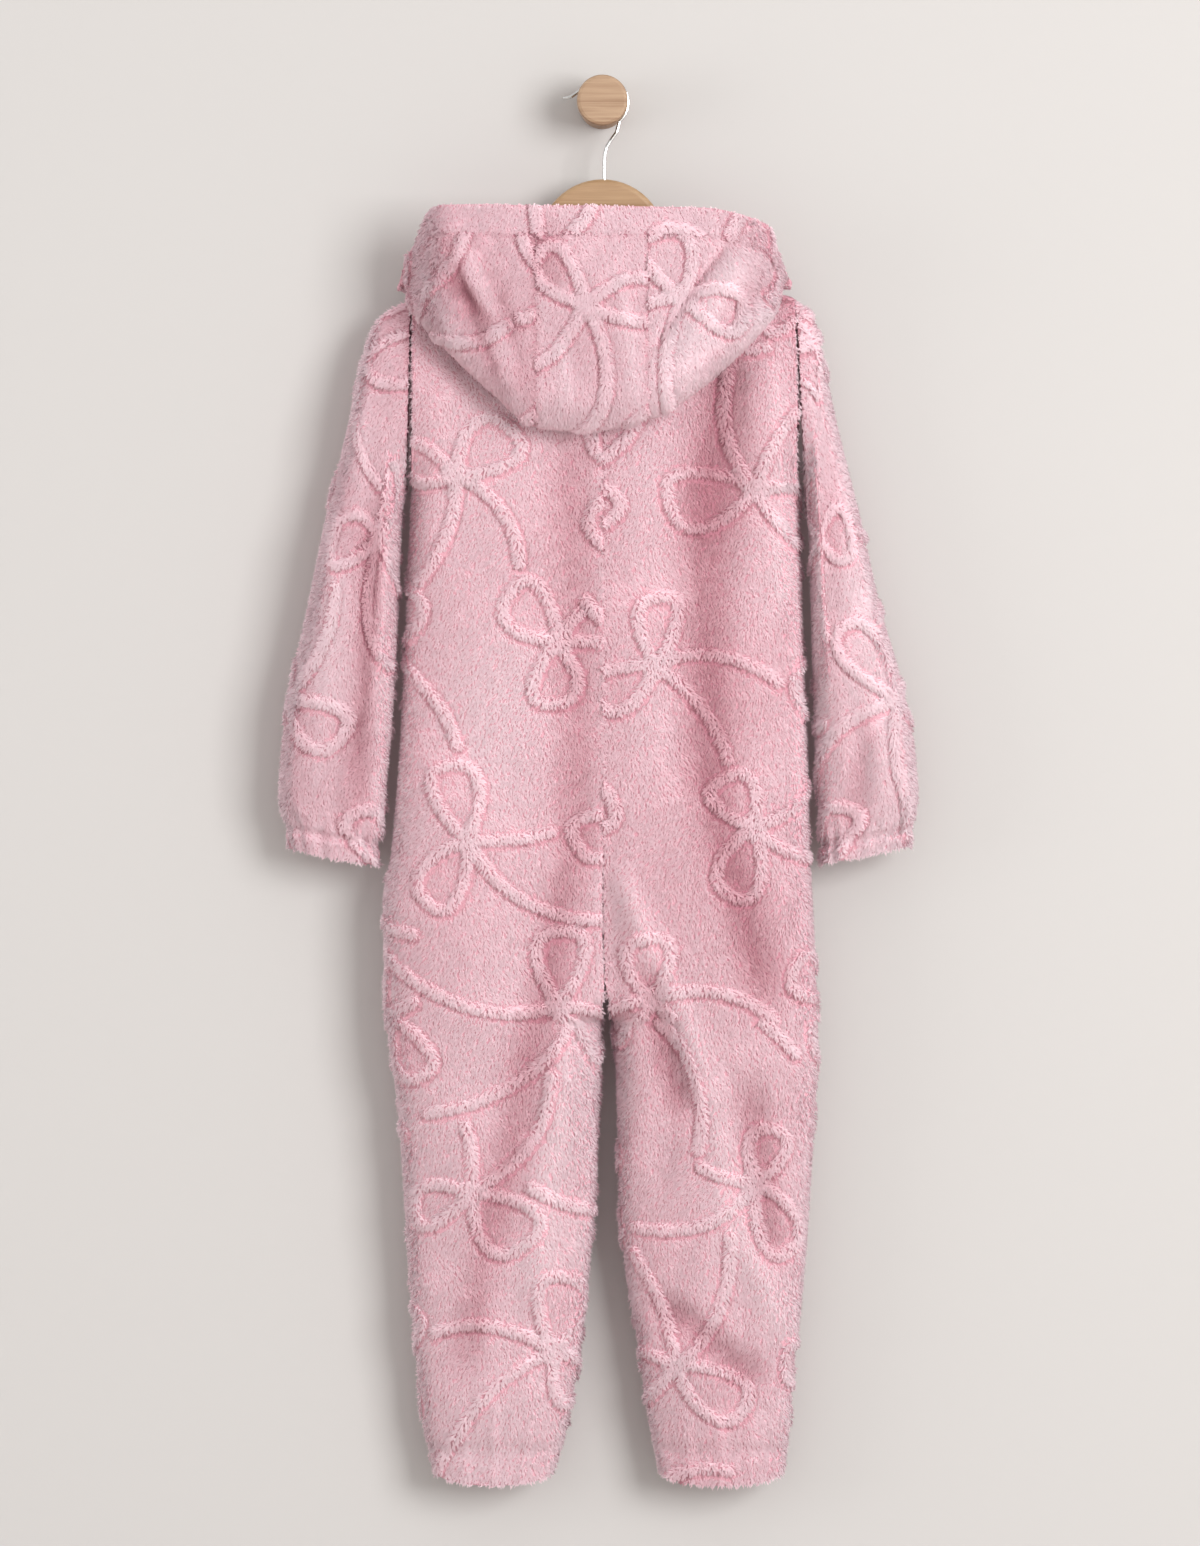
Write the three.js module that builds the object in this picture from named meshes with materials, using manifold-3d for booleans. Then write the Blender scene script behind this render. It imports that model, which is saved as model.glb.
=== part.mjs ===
// A child's hooded plush onesie on a wooden hanger, hung by the hanger's wire hook on a round wall peg.
// Millimetres, +Z up. The origin is the middle of the peg's back, where it meets the wall, and the
// garment hangs in front of the wall (-Y) with its back towards the viewer and its zip towards the wall.
// "left" is the wearer's left, at -X. Heights below the peg are written as "drop", so z = -drop.
import * as THREE from "three";
import { mergeVertices } from "three/addons/utils/BufferGeometryUtils.js";
import Module from "manifold-3d";

const wasm = await Module();
wasm.setup();

// Cloth: a knit backing with long plush pile, so the wall reaches from the backing to the pile's tips.
const WALL = 7;
const SEAM_GAP = 0.3;
const REST_GAP = 0.4;

// Heights of the garment's main lines, as drops below the peg's centre.
const NECK_SIDE_DROP = 120;
const NAPE_DROP = 126;
const FRONT_NECK_DROP = 172;
const SHOULDER_DROP = 166;
const ARMPIT_DROP = 330;
const CROTCH_TOP_DROP = 752;
const CROTCH_END_DROP = 782;
const HEM_DROP = 1164;
const HEM_STITCH_DROP = 1146;

const NECK_HALF_WIDTH = 68;
const SHOULDER_X = { left: -164, right: 166 };
const ARMHOLE_TALL = ARMPIT_DROP - SHOULDER_DROP;
const HANGER_Y = -32;
const SEAT_HOLLOW = 0.16;

// Widest outline of the body and legs and its depth behind and in front of the side seams.
const BODY = [
  { drop: 120, left: 164, right: 166, back: 22, front: 20, sideY: -32 },
  { drop: 166, left: 164, right: 166, back: 24, front: 20, sideY: -32 },
  { drop: 200, left: 164, right: 166, back: 28, front: 21, sideY: -32 },
  { drop: 260, left: 164, right: 167, back: 33, front: 24, sideY: -34 },
  { drop: 330, left: 164, right: 169, back: 36, front: 28, sideY: -36 },
  { drop: 400, left: 167, right: 171, back: 38, front: 31, sideY: -38 },
  { drop: 480, left: 170, right: 173, back: 39, front: 33, sideY: -40 },
  { drop: 560, left: 174, right: 176, back: 40, front: 34, sideY: -41 },
  { drop: 640, left: 181, right: 178, back: 42, front: 35, sideY: -42 },
  { drop: 680, left: 188, right: 180, back: 42, front: 35, sideY: -42 },
  { drop: 760, left: 186, right: 184, back: 41, front: 34, sideY: -41 },
  { drop: 800, left: 183, right: 185, back: 40, front: 33, sideY: -40 },
  { drop: 850, left: 176, right: 183, back: 38, front: 32, sideY: -39 },
  { drop: 900, left: 172, right: 180, back: 36, front: 31, sideY: -38 },
  { drop: 1000, left: 166, right: 173, back: 33, front: 29, sideY: -36 },
  { drop: 1100, left: 157, right: 163, back: 30, front: 26, sideY: -34 },
  { drop: 1130, left: 154, right: 161, back: 28, front: 24, sideY: -33 },
  { drop: 1150, left: 149, right: 159, back: 25, front: 22, sideY: -33 },
  { drop: 1190, left: 143, right: 155, back: 23, front: 20, sideY: -33 },
];

// Centre seam of the body, and how far each leg's inner edge stands from that line.
const INSEAM = [
  { drop: 120, seam: 0, left: 0, right: 0 },
  { drop: 700, seam: 0.5, left: 0, right: 0 },
  { drop: 762, seam: 2.5, left: 0, right: 0 },
  { drop: 782, seam: 3.5, left: 2, right: 3 },
  { drop: 820, seam: 4, left: 3, right: 6 },
  { drop: 860, seam: 4, left: 5.5, right: 7 },
  { drop: 920, seam: 4, left: 7, right: 8 },
  { drop: 960, seam: 4, left: 10, right: 10 },
  { drop: 1020, seam: 4, left: 16, right: 18 },
  { drop: 1060, seam: 4, left: 20, right: 25 },
  { drop: 1100, seam: 4, left: 27, right: 30 },
  { drop: 1140, seam: 4, left: 35, right: 37 },
  { drop: 1164, seam: 4, left: 42, right: 41 },
  { drop: 1190, seam: 4, left: 46, right: 43 },
];

// Sleeve sections, from the armhole to the cuff: outer edge, inner edge and half depth.
const SLEEVE_LEFT = [
  { outX: 164.3, outDrop: 166, inX: 164.3, inDrop: 330, half: 27 },
  { outX: 177, outDrop: 173, inX: 166, inDrop: 337, half: 28 },
  { outX: 190, outDrop: 184, inX: 168, inDrop: 345, half: 29 },
  { outX: 201, outDrop: 206, inX: 169.5, inDrop: 356, half: 30 },
  { outX: 212, outDrop: 250, inX: 170, inDrop: 375, half: 31 },
  { outX: 221, outDrop: 290, inX: 171, inDrop: 400, half: 31 },
  { outX: 237, outDrop: 356, inX: 172.5, inDrop: 440, half: 31 },
  { outX: 251, outDrop: 424, inX: 174.5, inDrop: 485, half: 31 },
  { outX: 265, outDrop: 490, inX: 177.5, inDrop: 530, half: 30 },
  { outX: 274, outDrop: 546, inX: 181, inDrop: 573, half: 29 },
  { outX: 277, outDrop: 590, inX: 184, inDrop: 608, half: 27 },
  { outX: 272, outDrop: 615, inX: 187, inDrop: 630, half: 24 },
  { outX: 267, outDrop: 636, inX: 189, inDrop: 650, half: 22 },
];
const SLEEVE_RIGHT = [
  { outX: 166.3, outDrop: 166, inX: 169.3, inDrop: 330, half: 27 },
  { outX: 176, outDrop: 176, inX: 171, inDrop: 338, half: 28 },
  { outX: 184, outDrop: 190, inX: 173, inDrop: 347, half: 29 },
  { outX: 190, outDrop: 222, inX: 174, inDrop: 358, half: 30 },
  { outX: 197, outDrop: 258, inX: 175, inDrop: 378, half: 31 },
  { outX: 206, outDrop: 296, inX: 175.5, inDrop: 402, half: 31 },
  { outX: 222, outDrop: 360, inX: 176.5, inDrop: 442, half: 31 },
  { outX: 237, outDrop: 428, inX: 177.5, inDrop: 485, half: 31 },
  { outX: 256, outDrop: 494, inX: 179, inDrop: 530, half: 30 },
  { outX: 267, outDrop: 548, inX: 180.5, inDrop: 573, half: 29 },
  { outX: 270, outDrop: 590, inX: 182, inDrop: 610, half: 27 },
  { outX: 266, outDrop: 617, inX: 184, inDrop: 630, half: 24 },
  { outX: 263, outDrop: 634, inX: 185, inDrop: 648, half: 22 },
];

// Hood sections round the neck, from the nape (turn 0) to the zip (turn 1). The cloth runs from the
// neck seam over a small roll, down the back to the fold, and up again to the rim. "face" is the way,
// in degrees from the back, that the section's plane looks.
const HOOD_LEFT = [
  { turn: 0, face: 0, foldX: -8, foldY: -92, foldDrop: 283, rimX: -8, rimY: -99, rimDrop: 93 },
  { turn: 0.12, face: 4, foldX: -56, foldY: -92, foldDrop: 279, rimX: -56, rimY: -99, rimDrop: 93 },
  { turn: 0.25, face: 14, foldX: -92, foldY: -88, foldDrop: 250, rimX: -98, rimY: -98, rimDrop: 92 },
  { turn: 0.36, face: 34, foldX: -128, foldY: -78, foldDrop: 216, rimX: -134, rimY: -93, rimDrop: 92 },
  { turn: 0.42, face: 50, foldX: -146, foldY: -69, foldDrop: 198, rimX: -146, rimY: -84, rimDrop: 96 },
  { turn: 0.47, face: 65, foldX: -158, foldY: -58, foldDrop: 181, rimX: -157, rimY: -70, rimDrop: 119 },
  { turn: 0.51, face: 78, foldX: -164, foldY: -47, foldDrop: 168, rimX: -168, rimY: -53, rimDrop: 142 },
  { turn: 0.55, face: 90, foldX: -159, foldY: -34, foldDrop: 155, rimX: -174, rimY: -35, rimDrop: 161 },
  { turn: 0.6, face: 98, foldX: -137, foldY: -24, foldDrop: 145, rimX: -162, rimY: -21, rimDrop: 155 },
  { turn: 0.7, face: 106, foldX: -90, foldY: -16, foldDrop: 130, rimX: -114, rimY: -13, rimDrop: 132 },
  { turn: 0.85, face: 128, foldX: -46, foldY: -13, foldDrop: 138, rimX: -54, rimY: -10, rimDrop: 122 },
  { turn: 1, face: 165, foldX: -5.8, foldY: -13, foldDrop: 148, rimX: -5.8, rimY: -10, rimDrop: 136 },
];
const HOOD_RIGHT = [
  { turn: 0, face: 0, foldX: -8, foldY: -92, foldDrop: 283, rimX: -8, rimY: -99, rimDrop: 93 },
  { turn: 0.12, face: 4, foldX: 39, foldY: -92, foldDrop: 273, rimX: 38, rimY: -99, rimDrop: 94 },
  { turn: 0.25, face: 14, foldX: 84, foldY: -88, foldDrop: 245, rimX: 88, rimY: -98, rimDrop: 95 },
  { turn: 0.36, face: 34, foldX: 118, foldY: -78, foldDrop: 214, rimX: 122, rimY: -93, rimDrop: 102 },
  { turn: 0.42, face: 50, foldX: 136, foldY: -68, foldDrop: 194, rimX: 137, rimY: -84, rimDrop: 107 },
  { turn: 0.47, face: 65, foldX: 147, foldY: -59, foldDrop: 177, rimX: 146, rimY: -71, rimDrop: 123 },
  { turn: 0.51, face: 78, foldX: 152, foldY: -47, foldDrop: 161, rimX: 154, rimY: -55, rimDrop: 142 },
  { turn: 0.55, face: 90, foldX: 147, foldY: -34, foldDrop: 152, rimX: 161, rimY: -35, rimDrop: 157 },
  { turn: 0.6, face: 98, foldX: 128, foldY: -24, foldDrop: 142, rimX: 150, rimY: -21, rimDrop: 151 },
  { turn: 0.7, face: 106, foldX: 88, foldY: -16, foldDrop: 130, rimX: 110, rimY: -13, rimDrop: 131 },
  { turn: 0.85, face: 128, foldX: 46, foldY: -13, foldDrop: 138, rimX: 54, rimY: -10, rimDrop: 122 },
  { turn: 1, face: 165, foldX: 5.8, foldY: -13, foldDrop: 148, rimX: 5.8, rimY: -10, rimDrop: 136 },
];
const STRIP_TURN = 0.12;
const NECK_LOOP_X = 66;
const NECK_LOOP_END = (175 / 180) * Math.PI;
const HOOD_BAND_WIDTH = 24;
const HOOD_BULGE = 12;
const FOLD_FULLNESS = 8;
const SHOULDER_LIFT = 8;
const STAND_RISE = 16;
const ROLL_RISE = 8;
const ROLL_TOP = 13;
const ROLL_REACH = 7.5;
const BODY_CLEAR = 1.3;

// Soft folds in the cloth of the back: a line in the back view, how wide and how high it stands.
const BACK_FOLDS = [
  { x0: 128, drop0: 215, x1: 142, drop1: 400, width: 17, height: 5 },
  { x0: 96, drop0: 270, x1: 104, drop1: 430, width: 18, height: -4 },
  { x0: -140, drop0: 220, x1: -148, drop1: 420, width: 16, height: 4 },
  { x0: -95, drop0: 250, x1: -118, drop1: 380, width: 20, height: -3 },
  { x0: 30, drop0: 640, x1: 26, drop1: 860, width: 16, height: 5 },
  { x0: -30, drop0: 700, x1: -34, drop1: 900, width: 18, height: 4 },
  { x0: 60, drop0: 780, x1: 48, drop1: 930, width: 13, height: -4 },
  { x0: -60, drop0: 520, x1: -40, drop1: 690, width: 26, height: 3 },
  { x0: 100, drop0: 560, x1: 120, drop1: 760, width: 26, height: 3.5 },
  { x0: -120, drop0: 860, x1: -100, drop1: 1060, width: 18, height: 4 },
  { x0: -70, drop0: 930, x1: -84, drop1: 1100, width: 14, height: -3.5 },
  { x0: 92, drop0: 930, x1: 78, drop1: 1100, width: 15, height: 4 },
  { x0: 130, drop0: 880, x1: 118, drop1: 1060, width: 14, height: -3.5 },
];
const FRONT_FOLDS = [
  { x0: -70, drop0: 300, x1: -90, drop1: 520, width: 24, height: -3 },
  { x0: 75, drop0: 260, x1: 95, drop1: 470, width: 24, height: -3 },
  { x0: -60, drop0: 740, x1: -80, drop1: 940, width: 20, height: -4 },
  { x0: 70, drop0: 760, x1: 92, drop1: 980, width: 20, height: -4 },
];

const HEM_WAVES = 6;
const CUFF_WAVES = 12;
const GATHER_HEIGHT = 1.6;
const STITCH_PINCH = 2.2;

// Zip down the front, set in a groove between the front panels.
const ZIP_START_DROP = 175;
const ZIP_END_DROP = 690;
const ZIP_GROOVE = 11;
const ZIP_TAPE_WIDTH = 13;
const ZIP_TAPE = 0.9;
const ZIP_COIL_WIDTH = 5.4;
const ZIP_COIL = 2.2;
const SLIDER = { drop: 196, width: 9, length: 11, plate: 1.6, flange: 1.2 };
const BRIDGE = { width: 3, foot: 1, length: 9, clear: 1.9, strap: 1 };
const PULL = { width: 7, length: 26, plate: 1.2, windowWidth: 4, windowLength: 5, belowCentre: 2 };

// Hanger of flat wood with rounded edges: a round shoulder for the hook, and an arm in each shoulder of
// the garment.
const HANGER = {
  thickness: 11,
  edge: 4.5,
  domeRadius: 54,
  domeDrop: 119.5,
  domeTurn: 1.02,
  armEnd: 152,
  armTip: 9,
  below: 11.9,
};
const HOOK_WIRE = 1.5;
const HOOK_BORE = 1.85;
const HOOK_FOOT_DROP = 84;
const BORE_TOOL = 60;
const PEG = { headRadius: 21.7, neckRadius: 19.8, headFrom: 41, front: 56, edge: 3 };

const clamp = (value, low, high) => Math.min(high, Math.max(low, value));
const mix = (a, b, share) => a + (b - a) * share;
const ease = (share) => {
  const s = clamp(share, 0, 1);
  return s * s * (3 - 2 * s);
};

// A smooth curve through one column of a table. It never overshoots the sizes in the rows.
function through(rows, along, column) {
  const at = rows.map((row) => row[along]);
  const value = rows.map((row) => row[column]);
  const last = rows.length - 1;
  const rise = at.slice(1).map((x, i) => (value[i + 1] - value[i]) / (x - at[i]));
  const slope = at.map((_, i) => {
    if (i === 0) return rise[0];
    if (i === last) return rise[last - 1];
    const product = rise[i - 1] * rise[i];
    return product <= 0 ? 0 : (2 * product) / (rise[i - 1] + rise[i]);
  });
  return (x) => {
    const clamped = clamp(x, at[0], at[last]);
    let i = 0;
    while (i < last - 1 && clamped > at[i + 1]) i += 1;
    const span = at[i + 1] - at[i];
    const s = (clamped - at[i]) / span;
    const near = (1 + 2 * s) * (1 - s) * (1 - s) * value[i] + s * s * (3 - 2 * s) * value[i + 1];
    return near + span * (s * (1 - s) * (1 - s) * slope[i] - s * s * (1 - s) * slope[i + 1]);
  };
}

const curvesOf = (rows, along) =>
  Object.fromEntries(
    Object.keys(rows[0])
      .filter((column) => column !== along)
      .map((column) => [column, through(rows, along, column)]),
  );

const body = curvesOf(BODY, "drop");
const inseam = curvesOf(INSEAM, "drop");
const hood = { left: curvesOf(HOOD_LEFT, "turn"), right: curvesOf(HOOD_RIGHT, "turn") };

// Height of the folds in a list at one place of the back view.
function foldHeight(folds, x, drop) {
  let height = 0;
  for (const fold of folds) {
    const dx = fold.x1 - fold.x0;
    const dd = fold.drop1 - fold.drop0;
    const length = Math.hypot(dx, dd);
    const along = ((x - fold.x0) * dx + (drop - fold.drop0) * dd) / (length * length);
    const across = ((x - fold.x0) * dd - (drop - fold.drop0) * dx) / length;
    const ends = ease((along + 0.15) / 0.4) * ease((1.15 - along) / 0.4);
    height += fold.height * ends * Math.exp(-((across / fold.width) ** 2));
  }
  return height;
}

// 0 in the body, where the two halves share one hollow, and 1 in the legs, past the crotch curve.
function legShare(drop) {
  const down = clamp((drop - CROTCH_TOP_DROP) / (CROTCH_END_DROP - CROTCH_TOP_DROP), 0, 1);
  return 1 - Math.sqrt(1 - down * down);
}

// Depth across half the body or across a leg, as a share of the full depth. s goes from the middle to
// the side.
const legRound = (s) => (1 - Math.abs(2 * clamp(s, 0, 1) - 1) ** 2.3) ** (1 / 2.3);
function bodyRound(s, drop) {
  const plain = (1 - clamp(s, 0, 1) ** 2.5) ** (1 / 2.5);
  const seatShare = ease((drop - 420) / (CROTCH_TOP_DROP - 420));
  const seat = s < 0.5 ? 1 - SEAT_HOLLOW * (1 - 2 * s) ** 2 : legRound(s);
  return mix(plain, seat, seatShare);
}

// Half depth of the armhole, a tall oval from the shoulder point to the armpit.
function armholeDepth(drop, inset) {
  const middle = (SHOULDER_DROP + ARMPIT_DROP) / 2;
  const tall = (ARMPIT_DROP - SHOULDER_DROP) / 2 - inset;
  const away = (drop - middle) / tall;
  return Math.abs(away) >= 1 ? 0 : (SLEEVE_LEFT[0].half - inset) * Math.sqrt(1 - away * away);
}

// The panel's top edge: the neckline, then the shoulder seam. share is 0 at the centre seam and 1 at the
// armhole.
const NECK_SHARE = NECK_HALF_WIDTH / 165;
function topDrop(face, share) {
  if (share >= NECK_SHARE)
    return mix(NECK_SIDE_DROP, SHOULDER_DROP, (share - NECK_SHARE) / (1 - NECK_SHARE));
  const centre = face === "back" ? NAPE_DROP : FRONT_NECK_DROP;
  return mix(centre, NECK_SIDE_DROP, (share / NECK_SHARE) ** 2.4);
}

const NECK_DEPTH = { back: 22, front: 20 };
const SHOULDER_ROUND = 36;
const SHOULDER_WALL = WALL + 1;
const EVEN_FROM_DROP = 520;
const SEAM_FADE = 14;
const ZIP_END_ROOM = 14;
const ZIP_END_TAPER = 10;

// A point on a body panel. side is left or right, face is back or front, layer is outer or inner.
// t runs from the centre seam or inseam to the side, and row is a drop, or a share of the yoke above the
// armpit.
function panelPoint(side, face, layer, t, row) {
  const inset = layer === "inner" ? WALL : 0;
  const sign = side === "left" ? -1 : 1;
  const yoke = row.share !== undefined;
  const shareHere = Math.sin((Math.PI / 2) * t);
  let drop = row.drop;
  let top = 0;
  if (yoke) {
    const onShoulder = ease((shareHere - NECK_SHARE + 0.05) / 0.1);
    top = topDrop(face, shareHere) + (inset ? SHOULDER_WALL * onShoulder : 0);
    drop = mix(top, ARMPIT_DROP, row.share);
  } else if (row.hem) {
    drop += row.hem * Math.sin(Math.PI * t);
  }
  const leg = yoke ? 0 : legShare(drop);
  const evenly = yoke ? 0 : ease((drop - EVEN_FROM_DROP) / (CROTCH_TOP_DROP - EVEN_FROM_DROP));
  const across = mix(shareHere, (1 - Math.cos(Math.PI * t)) / 2, evenly);
  const besideZip = ease((ZIP_END_DROP + ZIP_END_ROOM - drop) / ZIP_END_TAPER);
  const zipRoom = face === "front" ? (ZIP_GROOVE / 2) * besideZip : 0;
  const innerX = inseam.seam(drop) + sign * (inseam[side](drop) + SEAM_GAP / 2 + zipRoom + inset * leg);
  const belowShoulder = clamp((drop - SHOULDER_DROP) / ARMHOLE_TALL, 0, 1);
  const outerX = yoke
    ? mix(SHOULDER_X[side], sign * body[side](ARMPIT_DROP), belowShoulder)
    : sign * (body[side](drop) - inset);
  const x = mix(innerX, outerX, across);
  const full = body[face](drop) - inset;
  let depth = full * mix(bodyRound(across, drop), legRound(across), leg);
  if (yoke) {
    const edge = armholeDepth(drop, inset);
    const rounded = 1 - clamp((drop - top) / SHOULDER_ROUND, 0, 1);
    const swell = Math.sqrt(1 - rounded * rounded);
    const neckRatio = clamp(shareHere / NECK_SHARE, 0, 1);
    const neckOuter = NECK_DEPTH[face] * Math.sqrt(1 - neckRatio ** 2.2);
    const neck = Math.max(0, neckOuter - inset * (1 - neckRatio ** 6));
    const swollen = Math.max(0, full - edge) * bodyRound(shareHere, drop);
    depth = (1 - swell) * neck + edge + swell * swollen;
  }
  const atSeams = ease(depth / SEAM_FADE);
  depth += atSeams * foldHeight(face === "back" ? BACK_FOLDS : FRONT_FOLDS, x, drop);
  if (!inset) depth += atSeams * hemRelief(drop, t, HEM_WAVES, HEM_STITCH_DROP);
  const y = body.sideY(drop) + (face === "back" ? -1 : 1) * (depth + SEAM_GAP / 2);
  return new THREE.Vector3(x, y, -drop);
}

// Gathers above an elastic hem and the pinch of its stitch line, as a height over the plain cloth.
function hemRelief(drop, t, waves, stitchDrop) {
  const near = ease((drop - stitchDrop + 60) / 50);
  const pinch = Math.exp(-(((drop - stitchDrop) / 4) ** 2));
  return GATHER_HEIGHT * near * Math.cos(2 * Math.PI * waves * t) - STITCH_PINCH * pinch;
}

// A closed wall from two equal grids of points, outer and inner. Rows that close on themselves make a tube.
function wallGeometry(outer, inner, closed) {
  const rows = outer.length;
  const columns = outer[0].length;
  const points = [...outer.flat(), ...inner.flat()];
  const innerStart = rows * columns;
  const faces = [];
  const quad = (a, b, c, d) => faces.push(a, b, c, a, c, d);
  const steps = closed ? columns : columns - 1;
  const at = (i, j) => i * columns + (j % columns);
  for (let i = 0; i < rows - 1; i += 1) {
    for (let j = 0; j < steps; j += 1) {
      quad(at(i, j), at(i + 1, j), at(i + 1, j + 1), at(i, j + 1));
      const [a, b, c, d] = [at(i, j), at(i, j + 1), at(i + 1, j + 1), at(i + 1, j)];
      quad(innerStart + a, innerStart + b, innerStart + c, innerStart + d);
    }
  }
  for (let j = 0; j < steps; j += 1) {
    const low = rows - 1;
    quad(at(0, j + 1), innerStart + at(0, j + 1), innerStart + at(0, j), at(0, j));
    quad(at(low, j + 1), at(low, j), innerStart + at(low, j), innerStart + at(low, j + 1));
  }
  if (!closed) {
    const end = columns - 1;
    for (let i = 0; i < rows - 1; i += 1) {
      quad(at(i + 1, 0), at(i, 0), innerStart + at(i, 0), innerStart + at(i + 1, 0));
      quad(at(i + 1, end), innerStart + at(i + 1, end), innerStart + at(i, end), at(i, end));
    }
  }
  return facingOut(points, faces);
}

// Turns a closed surface the right way round, by the sign of its volume.
function facingOut(points, faces) {
  let volume = 0;
  for (let i = 0; i < faces.length; i += 3) {
    const [a, b, c] = [points[faces[i]], points[faces[i + 1]], points[faces[i + 2]]];
    volume += a.dot(new THREE.Vector3().crossVectors(b, c));
  }
  if (volume < 0) {
    for (let i = 0; i < faces.length; i += 3) {
      [faces[i + 1], faces[i + 2]] = [faces[i + 2], faces[i + 1]];
    }
  }
  const geometry = new THREE.BufferGeometry().setFromPoints(points);
  geometry.setIndex(faces);
  geometry.computeVertexNormals();
  return geometry;
}

const spread = (count) => Array.from({ length: count + 1 }, (_, i) => i / count);

// Rows of a body panel: shares of the yoke, then drops down to the hem.
const YOKE_ROWS = [0, 0.008, 0.022, 0.05, 0.1, 0.17, 0.27, 0.4, 0.56, 0.74, 0.9];
const BODY_ROWS = [330, 365, 405, 450, 500, 550, 600, 650, 692, 704, 730, 752];
const CROTCH_ROWS = [762, 770, 776, 780, 782];
const LEG_ROWS = [798, 825, 860, 900, 945, 990, 1035, 1075, 1105, 1126, 1138, 1146, 1154];
const HEM_SAG = 12;

function panelRows() {
  const sag = (drop) => HEM_SAG * ease((drop - 1070) / (HEM_DROP - 1070));
  return [
    ...YOKE_ROWS.map((share) => ({ share })),
    ...[...BODY_ROWS, ...CROTCH_ROWS, ...LEG_ROWS, HEM_DROP].map((drop) => ({ drop, hem: sag(drop) })),
  ];
}

function panel(side, face, columns) {
  const grid = (layer) =>
    panelRows().map((row) => spread(columns).map((t) => panelPoint(side, face, layer, t, row)));
  return wallGeometry(grid("outer"), grid("inner"), false);
}

function sleeveCurves(rows) {
  const steps = rows.map((row, i) => ({ ...row, at: i }));
  return curvesOf(steps, "at");
}

const SLEEVE_Y = [
  { at: 0, y: -34 },
  { at: 4, y: -37 },
  { at: 8, y: -40 },
  { at: 12, y: -38 },
];
const sleeveY = through(SLEEVE_Y, "at", "y");
const SLEEVE_FOLDS = [
  { turn: 0.2, from: 1, to: 6, width: 0.05, height: -3.5 },
  { turn: 0.33, from: 2.5, to: 9, width: 0.05, height: 3.5 },
  { turn: 0.13, from: 5, to: 11, width: 0.04, height: 3 },
  { turn: 0.27, from: 7, to: 11.5, width: 0.04, height: -3.5 },
  { turn: 0.72, from: 2, to: 9, width: 0.06, height: -3 },
];
const CUFF_STITCH_AT = 11.1;

// A point on a sleeve. turn goes round the tube from the outer edge by the back, and s from armhole to
// cuff.
function sleevePoint(side, curves, layer, turn, s) {
  const inset = layer === "inner" ? WALL : 0;
  const sign = side === "left" ? -1 : 1;
  const outerEdge = new THREE.Vector3(sign * curves.outX(s), 0, -curves.outDrop(s));
  const innerEdge = new THREE.Vector3(sign * curves.inX(s), 0, -curves.inDrop(s));
  const middle = outerEdge.clone().add(innerEdge).multiplyScalar(0.5);
  const reach = outerEdge.clone().sub(innerEdge).multiplyScalar(0.5);
  const angle = 2 * Math.PI * turn;
  let relief = 0;
  if (!inset) {
    for (const fold of SLEEVE_FOLDS) {
      const ends = ease((s - fold.from) / 1.5) * ease((fold.to - s) / 1.5);
      relief += fold.height * ends * Math.exp(-(((turn - fold.turn) / fold.width) ** 2));
    }
    relief += GATHER_HEIGHT * ease((s - 9) / 2) * Math.cos(2 * Math.PI * CUFF_WAVES * turn);
    relief -= STITCH_PINCH * Math.exp(-(((s - CUFF_STITCH_AT) / 0.25) ** 2));
  }
  const long = reach.length() - inset + relief;
  const deep = curves.half(s) - inset + relief;
  const point = middle.add(reach.normalize().multiplyScalar(long * Math.cos(angle)));
  point.y = mix(body.sideY(-point.z), sleeveY(s), ease(s / 2)) - deep * Math.sin(angle);
  return point;
}

const SLEEVE_STEPS = [0, 0.35, 1, 2, 3, 4, 5, 6, 7, 8, 9, 10, 10.6, 11.1, 11.5, 12];
const SLEEVE_ROUND = 24;

function sleeve(side, rows) {
  const curves = sleeveCurves(rows);
  const turns = spread(SLEEVE_ROUND).slice(0, -1);
  const ring = (layer, s) => turns.map((turn) => sleevePoint(side, curves, layer, turn, s));
  const grid = (layer) => SLEEVE_STEPS.map((s) => ring(layer, s));
  return wallGeometry(grid("outer"), grid("inner"), true);
}

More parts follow.
